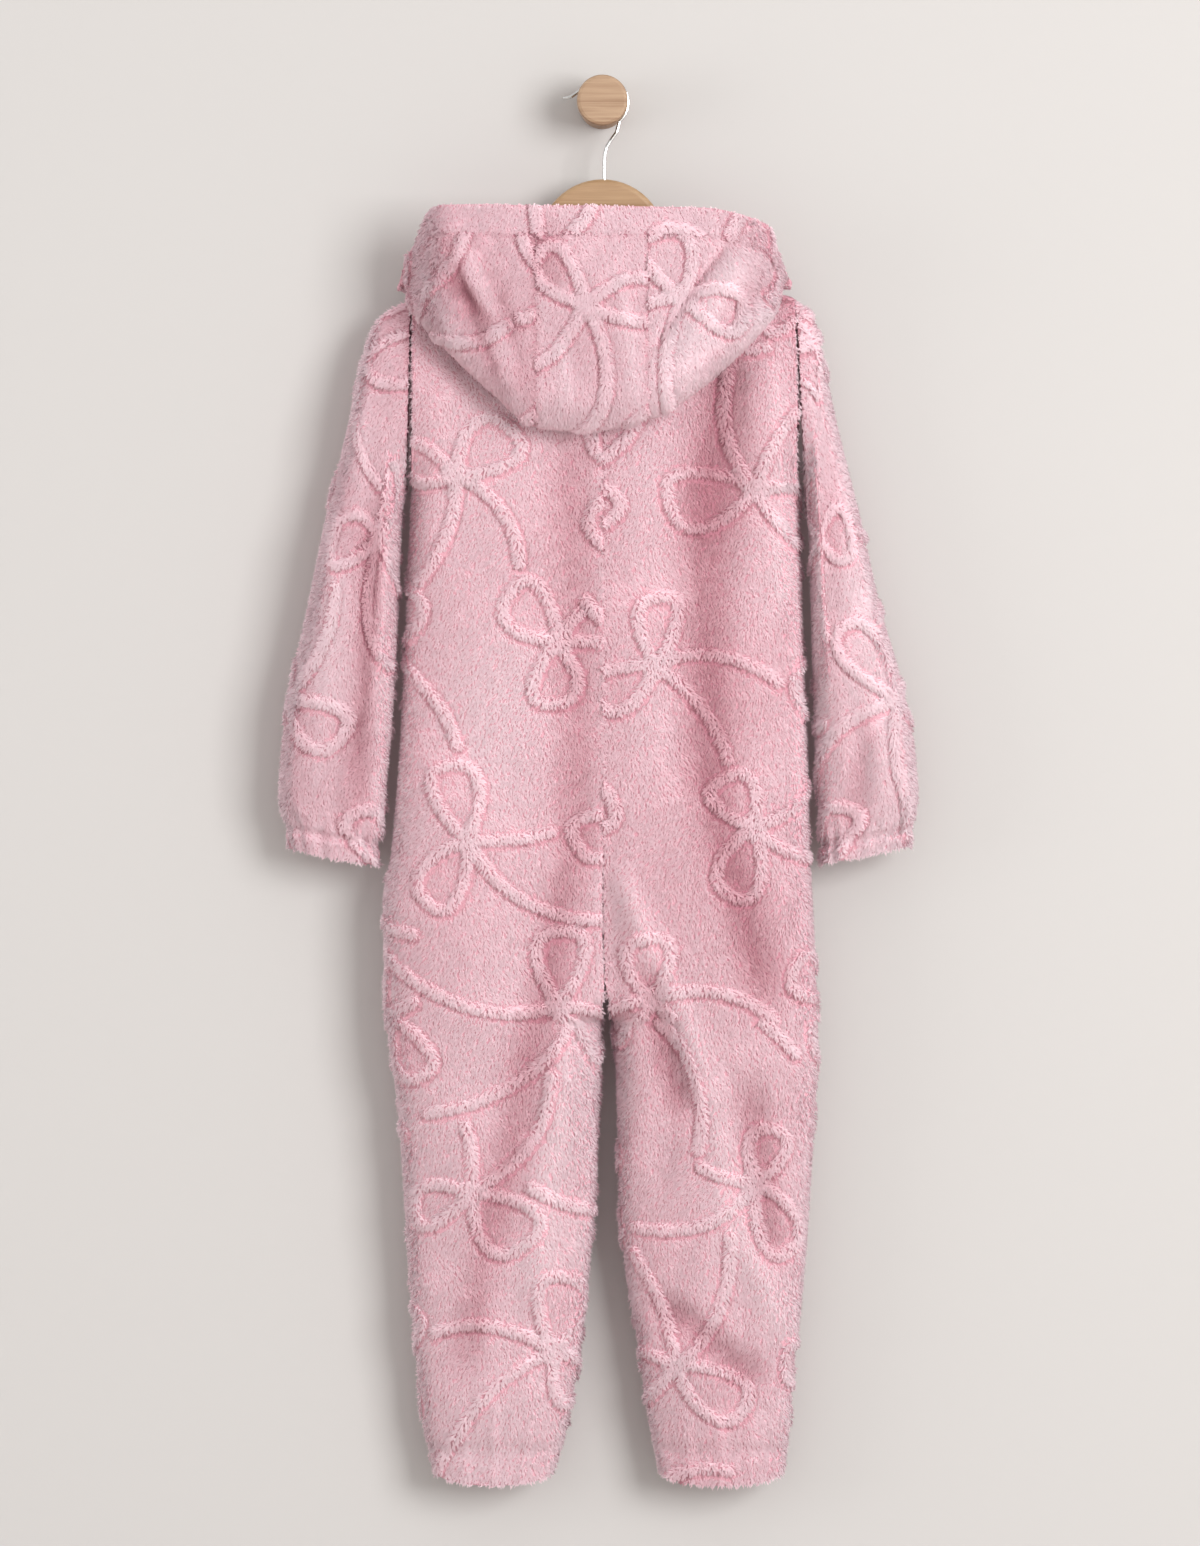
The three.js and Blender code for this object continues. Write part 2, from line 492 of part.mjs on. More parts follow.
// Control points of one hood section, from the neck seam to the rim.
function hoodSection(turn) {
  const at = Math.abs(turn);
  const sign = turn < 0 ? -1 : 1;
  const shape = hood[turn < 0 ? "left" : "right"];
  const angle = NECK_LOOP_END * at;
  const face = Math.cos(angle) > 0 ? "back" : "front";
  const neckDepth = NECK_DEPTH[face] - WALL / 2;
  const neckX = NECK_LOOP_X * Math.sin(angle);
  const neckShare = Math.min(1, neckX / NECK_HALF_WIDTH) * NECK_SHARE;
  const neckY = HANGER_Y - neckDepth * Math.cos(angle);
  const neck = new THREE.Vector3(sign * neckX, neckY, REST_GAP - topDrop(face, neckShare));
  const out = new THREE.Vector3(sign * Math.sin(angle) * neckDepth, -Math.cos(angle) * NECK_LOOP_X, 0);
  out.normalize();
  const place = (rise, reach) => neck.clone().addScaledVector(out, reach).add(new THREE.Vector3(0, 0, rise));
  const afterRoll = place(ROLL_RISE, 2 * ROLL_REACH);
  const fold = new THREE.Vector3(shape.foldX(at), shape.foldY(at), -shape.foldDrop(at));
  const rim = new THREE.Vector3(shape.rimX(at), shape.rimY(at), -shape.rimDrop(at));
  const tall = rim.distanceTo(fold);
  const folded = ease((0.56 - at) / 0.09);
  const bulge = folded * HOOD_BULGE * ease((tall - 12) / 110);
  const fullness = folded * FOLD_FULLNESS * ease((tall - 12) / 30);
  const shift = (x, y, z) => new THREE.Vector3(x, y, z);
  const lift = SHOULDER_LIFT * ease((at - 0.3) / 0.12) * ease((0.7 - at) / 0.12);
  const near = afterRoll.clone().lerp(fold, 0.5).add(shift(0, 0, lift));
  const low = fold.clone().lerp(rim, 0.3).add(shift(0, -bulge, 0));
  const high = fold.clone().lerp(rim, 0.72).add(shift(0, -bulge * 0.7, 0));
  const rolled = [
    neck,
    place(ROLL_RISE, 0.6),
    place(ROLL_TOP, ROLL_REACH),
    afterRoll,
    near,
    fold.clone().lerp(near, 0.2).add(shift(0, fullness, 0)),
    fold,
    fold.clone().lerp(low, 0.35).add(shift(0, -fullness, 0)),
    low,
    high,
    rim,
  ];
  // Towards the zip the hood stands straight up from its seam, without the roll and the fold.
  const standing = ease((at - 0.56) / 0.3);
  const above = neck.clone().add(shift(0, 0, STAND_RISE));
  return rolled.map((point, i) => {
    const k = i / (rolled.length - 1);
    const plain = neck
      .clone()
      .multiplyScalar((1 - k) ** 2)
      .addScaledVector(above, 2 * k * (1 - k))
      .addScaledVector(rim, k * k);
    return point.clone().lerp(plain, standing);
  });
}

// Knots and tangents of a smooth curve through points, with more room between points that lie further
// apart.
function smoothCurve(points) {
  const knots = [0];
  for (let i = 1; i < points.length; i += 1)
    knots.push(knots[i - 1] + Math.sqrt(points[i].distanceTo(points[i - 1])));
  const last = points.length - 1;
  const span = (i) => knots[i + 1] - knots[i];
  const rise = points.slice(1).map((p, i) => p.clone().sub(points[i]).divideScalar(span(i)));
  const tangents = points.map((_, i) => {
    if (i === 0) return rise[0].clone();
    if (i === last) return rise[last - 1].clone();
    const before = knots[i] - knots[i - 1];
    const after = knots[i + 1] - knots[i];
    const sum = rise[i - 1].clone().multiplyScalar(after).addScaledVector(rise[i], before);
    return sum.divideScalar(before + after);
  });
  return (knot) => {
    let i = 0;
    while (i < last - 1 && knot > knots[i + 1]) i += 1;
    const span = knots[i + 1] - knots[i];
    const s = (knot - knots[i]) / span;
    return points[i]
      .clone()
      .multiplyScalar((1 + 2 * s) * (1 - s) ** 2)
      .addScaledVector(points[i + 1], s * s * (3 - 2 * s))
      .addScaledVector(tangents[i], span * s * (1 - s) ** 2)
      .addScaledVector(tangents[i + 1], -span * s * s * (1 - s));
  };
}

// One hood section as points at even steps, with the length run so far at each of them.
const SECTION_STEPS = 96;
const sectionMemo = new Map();
function sectionLine(turn) {
  const key = turn.toFixed(5);
  if (sectionMemo.has(key)) return sectionMemo.get(key);
  const controls = hoodSection(turn);
  const curve = smoothCurve(controls);
  const knotEnd = controls.slice(1).reduce((sum, p, i) => sum + Math.sqrt(p.distanceTo(controls[i])), 0);
  const points = spread(SECTION_STEPS).map((share) => restOnBody(turn, curve(share * knotEnd), share));
  const lengths = [0];
  for (let i = 1; i <= SECTION_STEPS; i += 1) {
    lengths.push(lengths[i - 1] + points[i].distanceTo(points[i - 1]));
  }
  const line = { points, lengths, length: lengths[SECTION_STEPS] };
  sectionMemo.set(key, line);
  return line;
}

// Keeps the hood's near side off the cloth of the back that it lies on.
function restOnBody(turn, point, share) {
  if (share > 0.62 || Math.abs(turn) > 0.5) return point;
  const side = point.x < 0 ? "left" : "right";
  const backY = bodyBackY(side, Math.abs(point.x), -point.z);
  point.y = Math.min(point.y, backY - WALL / 2 - BODY_CLEAR);
  return point;
}

// Where the back's outer face lies at one place of the back view.
function bodyBackY(side, x, drop) {
  const share = clamp(x / (side === "left" ? -SHOULDER_X.left : SHOULDER_X.right), 0, 1);
  const top = topDrop("back", share);
  if (drop < top) return 0;
  const t = Math.asin(share) / (Math.PI / 2);
  const yokeShare = (drop - top) / (ARMPIT_DROP - top);
  return panelPoint(side, "back", "outer", t, { share: Math.min(1, yokeShare) }).y;
}

function alongSection(turn, distance) {
  const { points, lengths, length } = sectionLine(turn);
  const wanted = clamp(distance, 0, length);
  let i = 0;
  while (i < SECTION_STEPS - 1 && lengths[i + 1] < wanted) i += 1;
  const share = (wanted - lengths[i]) / (lengths[i + 1] - lengths[i]);
  return points[i].clone().lerp(points[i + 1], share);
}

// A point of the hood's wall. place goes from 0 to 1 on the panel, and from 1 to 2 on the rim band.
const LENGTH_STEP = 1.5;
const NECK_FADE = 16;
const BAND_PINCH = 0.8;
const BAND_GAP = 0.6;
function hoodPoint(turn, place, layer, piece) {
  const { length } = sectionLine(turn);
  const band = Math.min(HOOD_BAND_WIDTH, length * 0.7);
  const seam = length - band;
  const bandStart = seam + BAND_GAP / 2;
  const here = piece === "band" ? mix(bandStart, length, place - 1) : place * (seam - BAND_GAP / 2);
  const point = alongSection(turn, here);
  const low = Math.max(0, here - LENGTH_STEP);
  const high = Math.min(length, here + LENGTH_STEP);
  const up = alongSection(turn, high).sub(alongSection(turn, low));
  const face = THREE.MathUtils.degToRad(hood[turn < 0 ? "left" : "right"].face(Math.abs(turn)));
  const around = new THREE.Vector3(Math.cos(face), (turn < 0 ? -1 : 1) * Math.sin(face), 0);
  const normal = around.cross(up).normalize();
  const half = WALL / 2 - BAND_PINCH * Math.exp(-(((here - seam) / 3) ** 2));
  point.addScaledVector(normal, layer === "outer" ? half : -half);
  const atNeck = 1 - ease(here / NECK_FADE);
  const rise = neckEdgeZ(point) - neckEdgeZ(alongSection(turn, here));
  return point.add(new THREE.Vector3(0, 0, atNeck * rise));
}

// Height of the body's top edge straight below a point of the hood's neck seam.
function neckEdgeZ(point) {
  const share = clamp(Math.abs(point.x) / NECK_HALF_WIDTH, 0, 1.1) * NECK_SHARE;
  return -topDrop(point.y < HANGER_Y ? "back" : "front", share);
}

const HOOD_ROWS = [
  0, 0.025, 0.05, 0.075, 0.11, 0.2, 0.31, 0.4, 0.44,
  0.47, 0.5, 0.53, 0.56, 0.6, 0.68, 0.78, 0.9, 1,
];
const BAND_ROWS = [1, 1.12, 1.5, 1.9, 2];
const STRIP_COLUMNS = [-0.12, -0.08, -0.04, 0, 0.04, 0.08, 0.12];
const SIDE_COLUMNS = [
  0.12, 0.18, 0.24, 0.3, 0.35, 0.39, 0.42, 0.445, 0.47, 0.49,
  0.51, 0.53, 0.55, 0.575, 0.6, 0.65, 0.7, 0.78, 0.88, 1,
];

function hoodPanel(columns) {
  const last = columns.length - 1;
  const shift = (j) => (j === 0 ? SEAM_GAP / 2 : j === last ? -SEAM_GAP / 2 : 0);
  const atZip = (turn) => Math.abs(turn) > 0.999;
  const grid = (layer) =>
    HOOD_ROWS.map((place) =>
      columns.map((turn, j) => {
        const point = hoodPoint(turn, place, layer, "panel");
        if (!atZip(turn)) point.x += shift(j);
        return point;
      }),
    );
  return wallGeometry(grid("outer"), grid("inner"), false);
}

function hoodBand() {
  const columns = [
    ...SIDE_COLUMNS.map((turn) => -turn).reverse(),
    ...STRIP_COLUMNS.slice(1, -1),
    ...SIDE_COLUMNS,
  ];
  const grid = (layer) =>
    BAND_ROWS.map((place) => columns.map((turn) => hoodPoint(turn, place, layer, "band")));
  return wallGeometry(grid("outer"), grid("inner"), false);
}

// Where the outer face of a zip tape lies at a drop, just behind the front's wall.
function zipBase(drop) {
  const frontFace = body.sideY(drop) + SEAM_GAP / 2 + body.front(drop) * bodyRound(0, drop);
  return new THREE.Vector3(inseam.seam(drop), frontFace - WALL - SEAM_GAP - ZIP_TAPE, -drop);
}

const ZIP_DROPS = [ZIP_START_DROP, 200, 230, 265, 330, 400, 480, 560, 620, 660, ZIP_END_DROP];

// A flat strip down the zip, from one x to another, its back raised off the tapes' inner face.
function zipStrip(fromX, toX, thick, raised) {
  const grid = (height) =>
    ZIP_DROPS.map((drop) => {
      const base = zipBase(drop);
      return [fromX, toX].map((x) => new THREE.Vector3(base.x + x, base.y + height, base.z));
    });
  return wallGeometry(grid(raised + thick), grid(raised), false);
}

function solidOf(geometry) {
  const plain = geometry.index ? geometry.toNonIndexed() : geometry;
  const bare = new THREE.BufferGeometry().setAttribute("position", plain.getAttribute("position"));
  const merged = mergeVertices(bare, 1e-4);
  const mesh = new wasm.Mesh({
    numProp: 3,
    vertProperties: merged.attributes.position.array,
    triVerts: new Uint32Array(merged.index.array),
  });
  return new wasm.Manifold(mesh);
}

function geometryOf(solid) {
  const mesh = solid.getMesh();
  const geometry = new THREE.BufferGeometry();
  geometry.setAttribute("position", new THREE.BufferAttribute(new Float32Array(mesh.vertProperties), 3));
  geometry.setIndex([...mesh.triVerts]);
  geometry.computeVertexNormals();
  return geometry;
}

const block = (x0, x1, y0, y1, z0, z1) => {
  const geometry = new THREE.BoxGeometry(x1 - x0, y1 - y0, z1 - z0);
  return geometry.translate((x0 + x1) / 2, (y0 + y1) / 2, (z0 + z1) / 2);
};

const sliderPlane = () => {
  const base = zipBase(SLIDER.drop);
  const coilTop = base.y + ZIP_TAPE + SEAM_GAP + ZIP_COIL;
  return { x: base.x, tape: base.y + ZIP_TAPE, under: coilTop + REST_GAP, z: -SLIDER.drop };
};

// The slider rides over the coil, with a flange on each side and a bridge that holds the pull.
function zipSlider() {
  const { x, tape, under, z } = sliderPlane();
  const half = SLIDER.width / 2;
  const long = SLIDER.length / 2;
  const top = under + SLIDER.plate;
  const body = block(x - half, x + half, tape + REST_GAP, top, z - long, z + long);
  const inside = half - SLIDER.flange;
  const channel = block(x - inside, x + inside, tape - 1, under, z - long - 1, z + long + 1);
  const bridgeHalf = BRIDGE.width / 2;
  const reach = BRIDGE.length / 2;
  const strapTop = top + BRIDGE.clear + BRIDGE.strap;
  const bridge = block(x - bridgeHalf, x + bridgeHalf, top - 0.5, strapTop, z - reach, z + reach);
  const eye = block(
    x - half,
    x + half,
    top,
    top + BRIDGE.clear,
    z - reach + BRIDGE.foot,
    z + reach - BRIDGE.foot,
  );
  return geometryOf(solidOf(body).subtract(solidOf(channel)).add(solidOf(bridge).subtract(solidOf(eye))));
}

// The pull hangs from a bar through the bridge. Its pivot is the middle of that bar.
function zipPull() {
  const { x, under, z } = sliderPlane();
  const pivotY = under + SLIDER.plate + BRIDGE.clear / 2;
  const pivotZ = z - PULL.belowCentre;
  const barHalf = PULL.plate / 2;
  const half = PULL.width / 2;
  const radius = 2;
  const outline = new THREE.Shape();
  outline.moveTo(-half + 1, barHalf);
  outline.lineTo(half - 1, barHalf);
  outline.quadraticCurveTo(half, barHalf, half, barHalf - 1);
  outline.lineTo(half, barHalf - PULL.length + radius);
  outline.quadraticCurveTo(half, barHalf - PULL.length, half - radius, barHalf - PULL.length);
  outline.lineTo(-half + radius, barHalf - PULL.length);
  outline.quadraticCurveTo(-half, barHalf - PULL.length, -half, barHalf - PULL.length + radius);
  outline.lineTo(-half, barHalf - 1);
  outline.quadraticCurveTo(-half, barHalf, -half + 1, barHalf);
  const eye = new THREE.Path();
  const eyeHalf = PULL.windowWidth / 2;
  eye.moveTo(-eyeHalf, -barHalf);
  eye.lineTo(-eyeHalf, -barHalf - PULL.windowLength);
  eye.lineTo(eyeHalf, -barHalf - PULL.windowLength);
  eye.lineTo(eyeHalf, -barHalf);
  eye.lineTo(-eyeHalf, -barHalf);
  outline.holes.push(eye);
  const flat = { depth: PULL.plate, bevelEnabled: false, curveSegments: 4 };
  const geometry = new THREE.ExtrudeGeometry(outline, flat);
  return geometry.rotateX(Math.PI / 2).translate(x, pivotY + barHalf, pivotZ);
}

// The hanger's outline in the back view, right half first, then mirrored.
function hanger() {
  const armTop = (x) => -topDrop("back", Math.abs(x) / SHOULDER_X.right) - HANGER.below;
  const right = [];
  const dome = 9;
  for (let i = 0; i <= dome; i += 1) {
    const angle = (i / dome) * HANGER.domeTurn;
    const [x, z] = [HANGER.domeRadius * Math.sin(angle), HANGER.domeRadius * Math.cos(angle)];
    right.push([x, z - HANGER.domeDrop]);
  }
  right.push([49.5, -112], [52, -128], [57, -139], [66, armTop(66) - 7], [80, armTop(80) - 1]);
  for (const x of [100, 120, 138]) right.push([x, armTop(x)]);
  const tipZ = armTop(HANGER.armEnd) - HANGER.armTip;
  for (const angle of [70, 35, 0, -35, -70]) {
    const turned = THREE.MathUtils.degToRad(angle);
    right.push([
      HANGER.armEnd - HANGER.armTip + HANGER.armTip * Math.cos(turned),
      tipZ + HANGER.armTip * Math.sin(turned),
    ]);
  }
  right.push([120, armTop(120) - 19], [85, armTop(85) - 22], [45, -146], [0, -141]);
  const left = right.slice(1, -1).map(([x, z]) => [-x, z]).reverse();
  const outline = new THREE.Shape([...right, ...left].map(([x, z]) => new THREE.Vector2(x, z)));
  const bevel = HANGER.edge;
  const geometry = new THREE.ExtrudeGeometry(outline, {
    depth: HANGER.thickness - 2 * bevel,
    bevelThickness: bevel,
    bevelSize: bevel,
    bevelOffset: -bevel,
    bevelSegments: 3,
  });
  geometry.rotateX(Math.PI / 2).translate(0, HANGER_Y + HANGER.thickness / 2 - bevel, 0);
  const bore = new THREE.CylinderGeometry(HOOK_BORE, HOOK_BORE, BORE_TOOL, 12).rotateX(Math.PI / 2);
  bore.translate(HOOK_LINE[0][0], HANGER_Y, BORE_TOOL / 2 - HOOK_FOOT_DROP - REST_GAP);
  return geometryOf(solidOf(geometry).subtract(solidOf(bore)));
}

// Middle line of the hook's wire in the back view: up out of the wood, round the peg and out to the tip.
const HOOK_LINE = hookLine();
function hookLine() {
  const radius = PEG.neckRadius + REST_GAP + HOOK_WIRE;
  const line = [[1.5, -HOOK_FOOT_DROP], [1.5, -74], [1.5, -62], [1.5, -50]];
  line.push([1.9, -44], [3.4, -38.5], [7, -32.5], [12, -25.6]);
  const start = -48;
  const end = 152;
  const steps = 20;
  for (let i = 0; i <= steps; i += 1) {
    const angle = THREE.MathUtils.degToRad(mix(start, end, i / steps));
    line.push([radius * Math.cos(angle), radius * Math.sin(angle)]);
  }
  line.push([-22.6, 7.6], [-26.4, 5], [-30, 3.8], [-33.5, 3.4]);
  return line;
}

function hook() {
  const points = HOOK_LINE.map(([x, z]) => new THREE.Vector3(x, HANGER_Y, z));
  const around = 8;
  const ring = (i) => {
    const before = points[Math.max(0, i - 1)];
    const after = points[Math.min(points.length - 1, i + 1)];
    const along = after.clone().sub(before).normalize();
    const across = new THREE.Vector3(0, 1, 0);
    const up = new THREE.Vector3().crossVectors(across, along);
    return spread(around).slice(0, -1).map((turn) => {
      const angle = 2 * Math.PI * turn;
      const radial = across.clone().multiplyScalar(Math.cos(angle)).addScaledVector(up, Math.sin(angle));
      return points[i].clone().addScaledVector(radial, HOOK_WIRE);
    });
  };
  const rings = points.map((_, i) => ring(i));
  const corners = rings.flat();
  const faces = [];
  for (let i = 0; i < rings.length - 1; i += 1) {
    for (let j = 0; j < around; j += 1) {
      const [a, b] = [i * around + j, i * around + ((j + 1) % around)];
      faces.push(a, b, b + around, a, b + around, a + around);
    }
  }
  const ends = [[0, points[0]], [(rings.length - 1) * around, points[points.length - 1]]];
  for (const [ringStart, centre] of ends) {
    corners.push(centre.clone());
    for (let j = 0; j < around; j += 1) {
      const [a, b] = [ringStart + j, ringStart + ((j + 1) % around)];
      faces.push(...(ringStart === 0 ? [a, corners.length - 1, b] : [a, b, corners.length - 1]));
    }
  }
  return facingOut(corners, faces);
}

// The peg is turned wood: a neck that the hook rests on and a slightly wider head.
function peg() {
  const profile = [
    [0, 0],
    [PEG.neckRadius, 0],
    [PEG.neckRadius, PEG.headFrom],
    [PEG.headRadius, PEG.headFrom + 2],
    [PEG.headRadius, PEG.front - PEG.edge],
    [PEG.headRadius - 0.9, PEG.front - 0.9],
    [PEG.headRadius - PEG.edge, PEG.front],
    [0, PEG.front],
  ].map(([radius, along]) => new THREE.Vector2(radius, along));
  const geometry = new THREE.LatheGeometry(profile, 40);
  return geometryOf(solidOf(geometry.rotateX(Math.PI)));
}

const group = new THREE.Group();
const plush = (name) =>
  new THREE.MeshStandardMaterial({ name, color: 0xdcaab6, roughness: 0.95, metalness: 0 });
const knit = (name) =>
  new THREE.MeshStandardMaterial({ name, color: 0xd59aa8, roughness: 0.8, metalness: 0 });
const metal = (name, color) =>
  new THREE.MeshStandardMaterial({ name, color, roughness: 0.3, metalness: 0.9 });
const wood = (name, color) =>
  new THREE.MeshStandardMaterial({ name, color, roughness: 0.55, metalness: 0 });

function add(name, geometry, material) {
  const mesh = new THREE.Mesh(geometry, material);
  mesh.name = name;
  group.add(mesh);
  return mesh;
}

add("back_left", panel("left", "back", 12), plush("plush"));
add("back_right", panel("right", "back", 12), plush("plush"));
add("front_left", panel("left", "front", 10), plush("plush"));
add("front_right", panel("right", "front", 10), plush("plush"));
add("sleeve_left", sleeve("left", SLEEVE_LEFT), plush("plush"));
add("sleeve_right", sleeve("right", SLEEVE_RIGHT), plush("plush"));
add("hood_center", hoodPanel(STRIP_COLUMNS), plush("plush"));
add("hood_left", hoodPanel(SIDE_COLUMNS.map((turn) => -turn).reverse()), plush("plush"));
add("hood_right", hoodPanel(SIDE_COLUMNS), plush("plush"));
add("hood_band", hoodBand(), plush("plush"));
add("zip_tape_left", zipStrip(-SEAM_GAP / 2 - ZIP_TAPE_WIDTH, -SEAM_GAP / 2, ZIP_TAPE, 0), knit("tape"));
add("zip_tape_right", zipStrip(SEAM_GAP / 2, SEAM_GAP / 2 + ZIP_TAPE_WIDTH, ZIP_TAPE, 0), knit("tape"));
const coilSide = ZIP_COIL_WIDTH / 2;
add("zip_coil", zipStrip(-coilSide, coilSide, ZIP_COIL, ZIP_TAPE + SEAM_GAP), knit("coil"));
add("zip_slider", zipSlider(), metal("enamel", 0xd9a3b0));
add("zip_pull", zipPull(), metal("enamel", 0xd9a3b0));
add("hanger", hanger(), wood("beech", 0xc9a67c));
add("hook", hook(), metal("steel", 0xb9bcc0));
add("peg", peg(), wood("oak", 0xb58a62));

export default group;
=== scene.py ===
import math

import bpy
import mathutils
import numpy as np
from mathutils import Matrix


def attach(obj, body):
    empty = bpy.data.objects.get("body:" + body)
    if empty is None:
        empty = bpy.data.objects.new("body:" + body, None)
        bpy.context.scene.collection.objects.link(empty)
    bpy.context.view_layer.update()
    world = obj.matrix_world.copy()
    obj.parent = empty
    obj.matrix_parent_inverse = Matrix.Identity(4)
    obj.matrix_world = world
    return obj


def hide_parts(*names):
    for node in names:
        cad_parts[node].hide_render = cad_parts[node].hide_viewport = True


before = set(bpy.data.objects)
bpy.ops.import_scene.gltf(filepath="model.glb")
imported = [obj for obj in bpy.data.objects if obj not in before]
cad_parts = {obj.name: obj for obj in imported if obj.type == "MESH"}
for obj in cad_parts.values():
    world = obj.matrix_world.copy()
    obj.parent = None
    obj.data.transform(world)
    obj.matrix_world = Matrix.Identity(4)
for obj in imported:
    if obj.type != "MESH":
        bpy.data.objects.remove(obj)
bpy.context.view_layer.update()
BODY = "garment"
MM = 0.001

# A child's hooded plush onesie on a hanger, seen from its back. All sizes below are millimetres, in the
# frame of the model: x to the viewer's right, y into the wall, z up, and "drop" is the height below the peg.

# Cloth: the pile's tips reach the model's surface, and its knit ground lies below them.
WALL = 7.0
GROUND_DEPTH = 3.6
INNER_DEPTH = 6.8
GRID_STEP = 4.2
INNER_EVERY = 2

SEAM_GAP = 0.3
REST_GAP = 0.4
NECK_SIDE_DROP = 120
NAPE_DROP = 126
FRONT_NECK_DROP = 172
SHOULDER_DROP = 166
ARMPIT_DROP = 330
CROTCH_TOP_DROP = 752
CROTCH_END_DROP = 782
HEM_DROP = 1164
HEM_STITCH_DROP = 1146
HEM_SAG = 12
NECK_HALF_WIDTH = 68
SHOULDER_X = {"left": -164, "right": 166}
ARMHOLE_TALL = ARMPIT_DROP - SHOULDER_DROP
HANGER_Y = -32
SEAT_HOLLOW = 0.16
NECK_SHARE = NECK_HALF_WIDTH / 165
NECK_DEPTH = {"back": 22, "front": 20}
SHOULDER_ROUND = 36
ZIP_GROOVE = 11
ZIP_END_DROP = 704
SLIDER_DROP = 214
SLIDER_CLEAR = 20


def table(names, *rows):
    """Columns of a table as arrays, by name."""
    return dict(zip(names.split(), np.array(rows, float).T))


# Widest outline of the body and legs and its depth behind and in front of the side seams.
OUTLINE = table(
    "drop left right back front sideY",
    (120, 164, 166, 22, 20, -32),
    (166, 164, 166, 24, 20, -32),
    (200, 164, 166, 28, 21, -32),
    (260, 164, 167, 33, 24, -34),
    (330, 164, 169, 36, 28, -36),
    (400, 167, 171, 38, 31, -38),
    (480, 170, 173, 39, 33, -40),
    (560, 174, 176, 40, 34, -41),
    (640, 181, 178, 42, 35, -42),
    (680, 188, 180, 42, 35, -42),
    (760, 186, 184, 41, 34, -41),
    (800, 183, 185, 40, 33, -40),
    (850, 176, 183, 38, 32, -39),
    (900, 172, 180, 36, 31, -38),
    (1000, 166, 173, 33, 29, -36),
    (1100, 157, 163, 30, 26, -34),
    (1130, 154, 161, 28, 24, -33),
    (1150, 149, 159, 25, 22, -33),
    (1190, 143, 155, 23, 20, -33),
)

# Centre seam of the body, and how far each leg's inner edge stands from that line.
INSEAM = table(
    "drop seam left right",
    (120, 0, 0, 0),
    (700, 0.5, 0, 0),
    (762, 2.5, 0, 0),
    (782, 3.5, 2, 3),
    (820, 4, 3, 6),
    (860, 4, 5.5, 7),
    (920, 4, 7, 8),
    (960, 4, 10, 10),
    (1020, 4, 16, 18),
    (1060, 4, 20, 25),
    (1100, 4, 27, 30),
    (1140, 4, 35, 37),
    (1164, 4, 42, 41),
    (1190, 4, 46, 43),
)

# Sleeve sections, from the armhole to the cuff: outer edge, inner edge and half depth.
SLEEVE = {
    "left": table(
        "at outX outDrop inX inDrop half",
        (0, 164.3, 166, 164.3, 330, 27),
        (1, 177, 173, 166, 337, 28),
        (2, 190, 184, 168, 345, 29),
        (3, 201, 206, 169.5, 356, 30),
        (4, 212, 250, 170, 375, 31),
        (5, 221, 290, 171, 400, 31),
        (6, 237, 356, 172.5, 440, 31),
        (7, 251, 424, 174.5, 485, 31),
        (8, 265, 490, 177.5, 530, 30),
        (9, 274, 546, 181, 573, 29),
        (10, 277, 590, 184, 608, 27),
        (11, 272, 615, 187, 630, 24),
        (12, 267, 636, 189, 650, 22),
    ),
    "right": table(
        "at outX outDrop inX inDrop half",
        (0, 166.3, 166, 169.3, 330, 27),
        (1, 176, 176, 171, 338, 28),
        (2, 184, 190, 173, 347, 29),
        (3, 190, 222, 174, 358, 30),
        (4, 197, 258, 175, 378, 31),
        (5, 206, 296, 175.5, 402, 31),
        (6, 222, 360, 176.5, 442, 31),
        (7, 237, 428, 177.5, 485, 31),
        (8, 256, 494, 179, 530, 30),
        (9, 267, 548, 180.5, 573, 29),
        (10, 270, 590, 182, 610, 27),
        (11, 266, 617, 184, 630, 24),
        (12, 263, 634, 185, 648, 22),
    ),
}
SLEEVE_Y = table("at y", (0, -34), (4, -37), (8, -40), (12, -38))
SLEEVE_END = 12
CUFF_STITCH_AT = 11.1

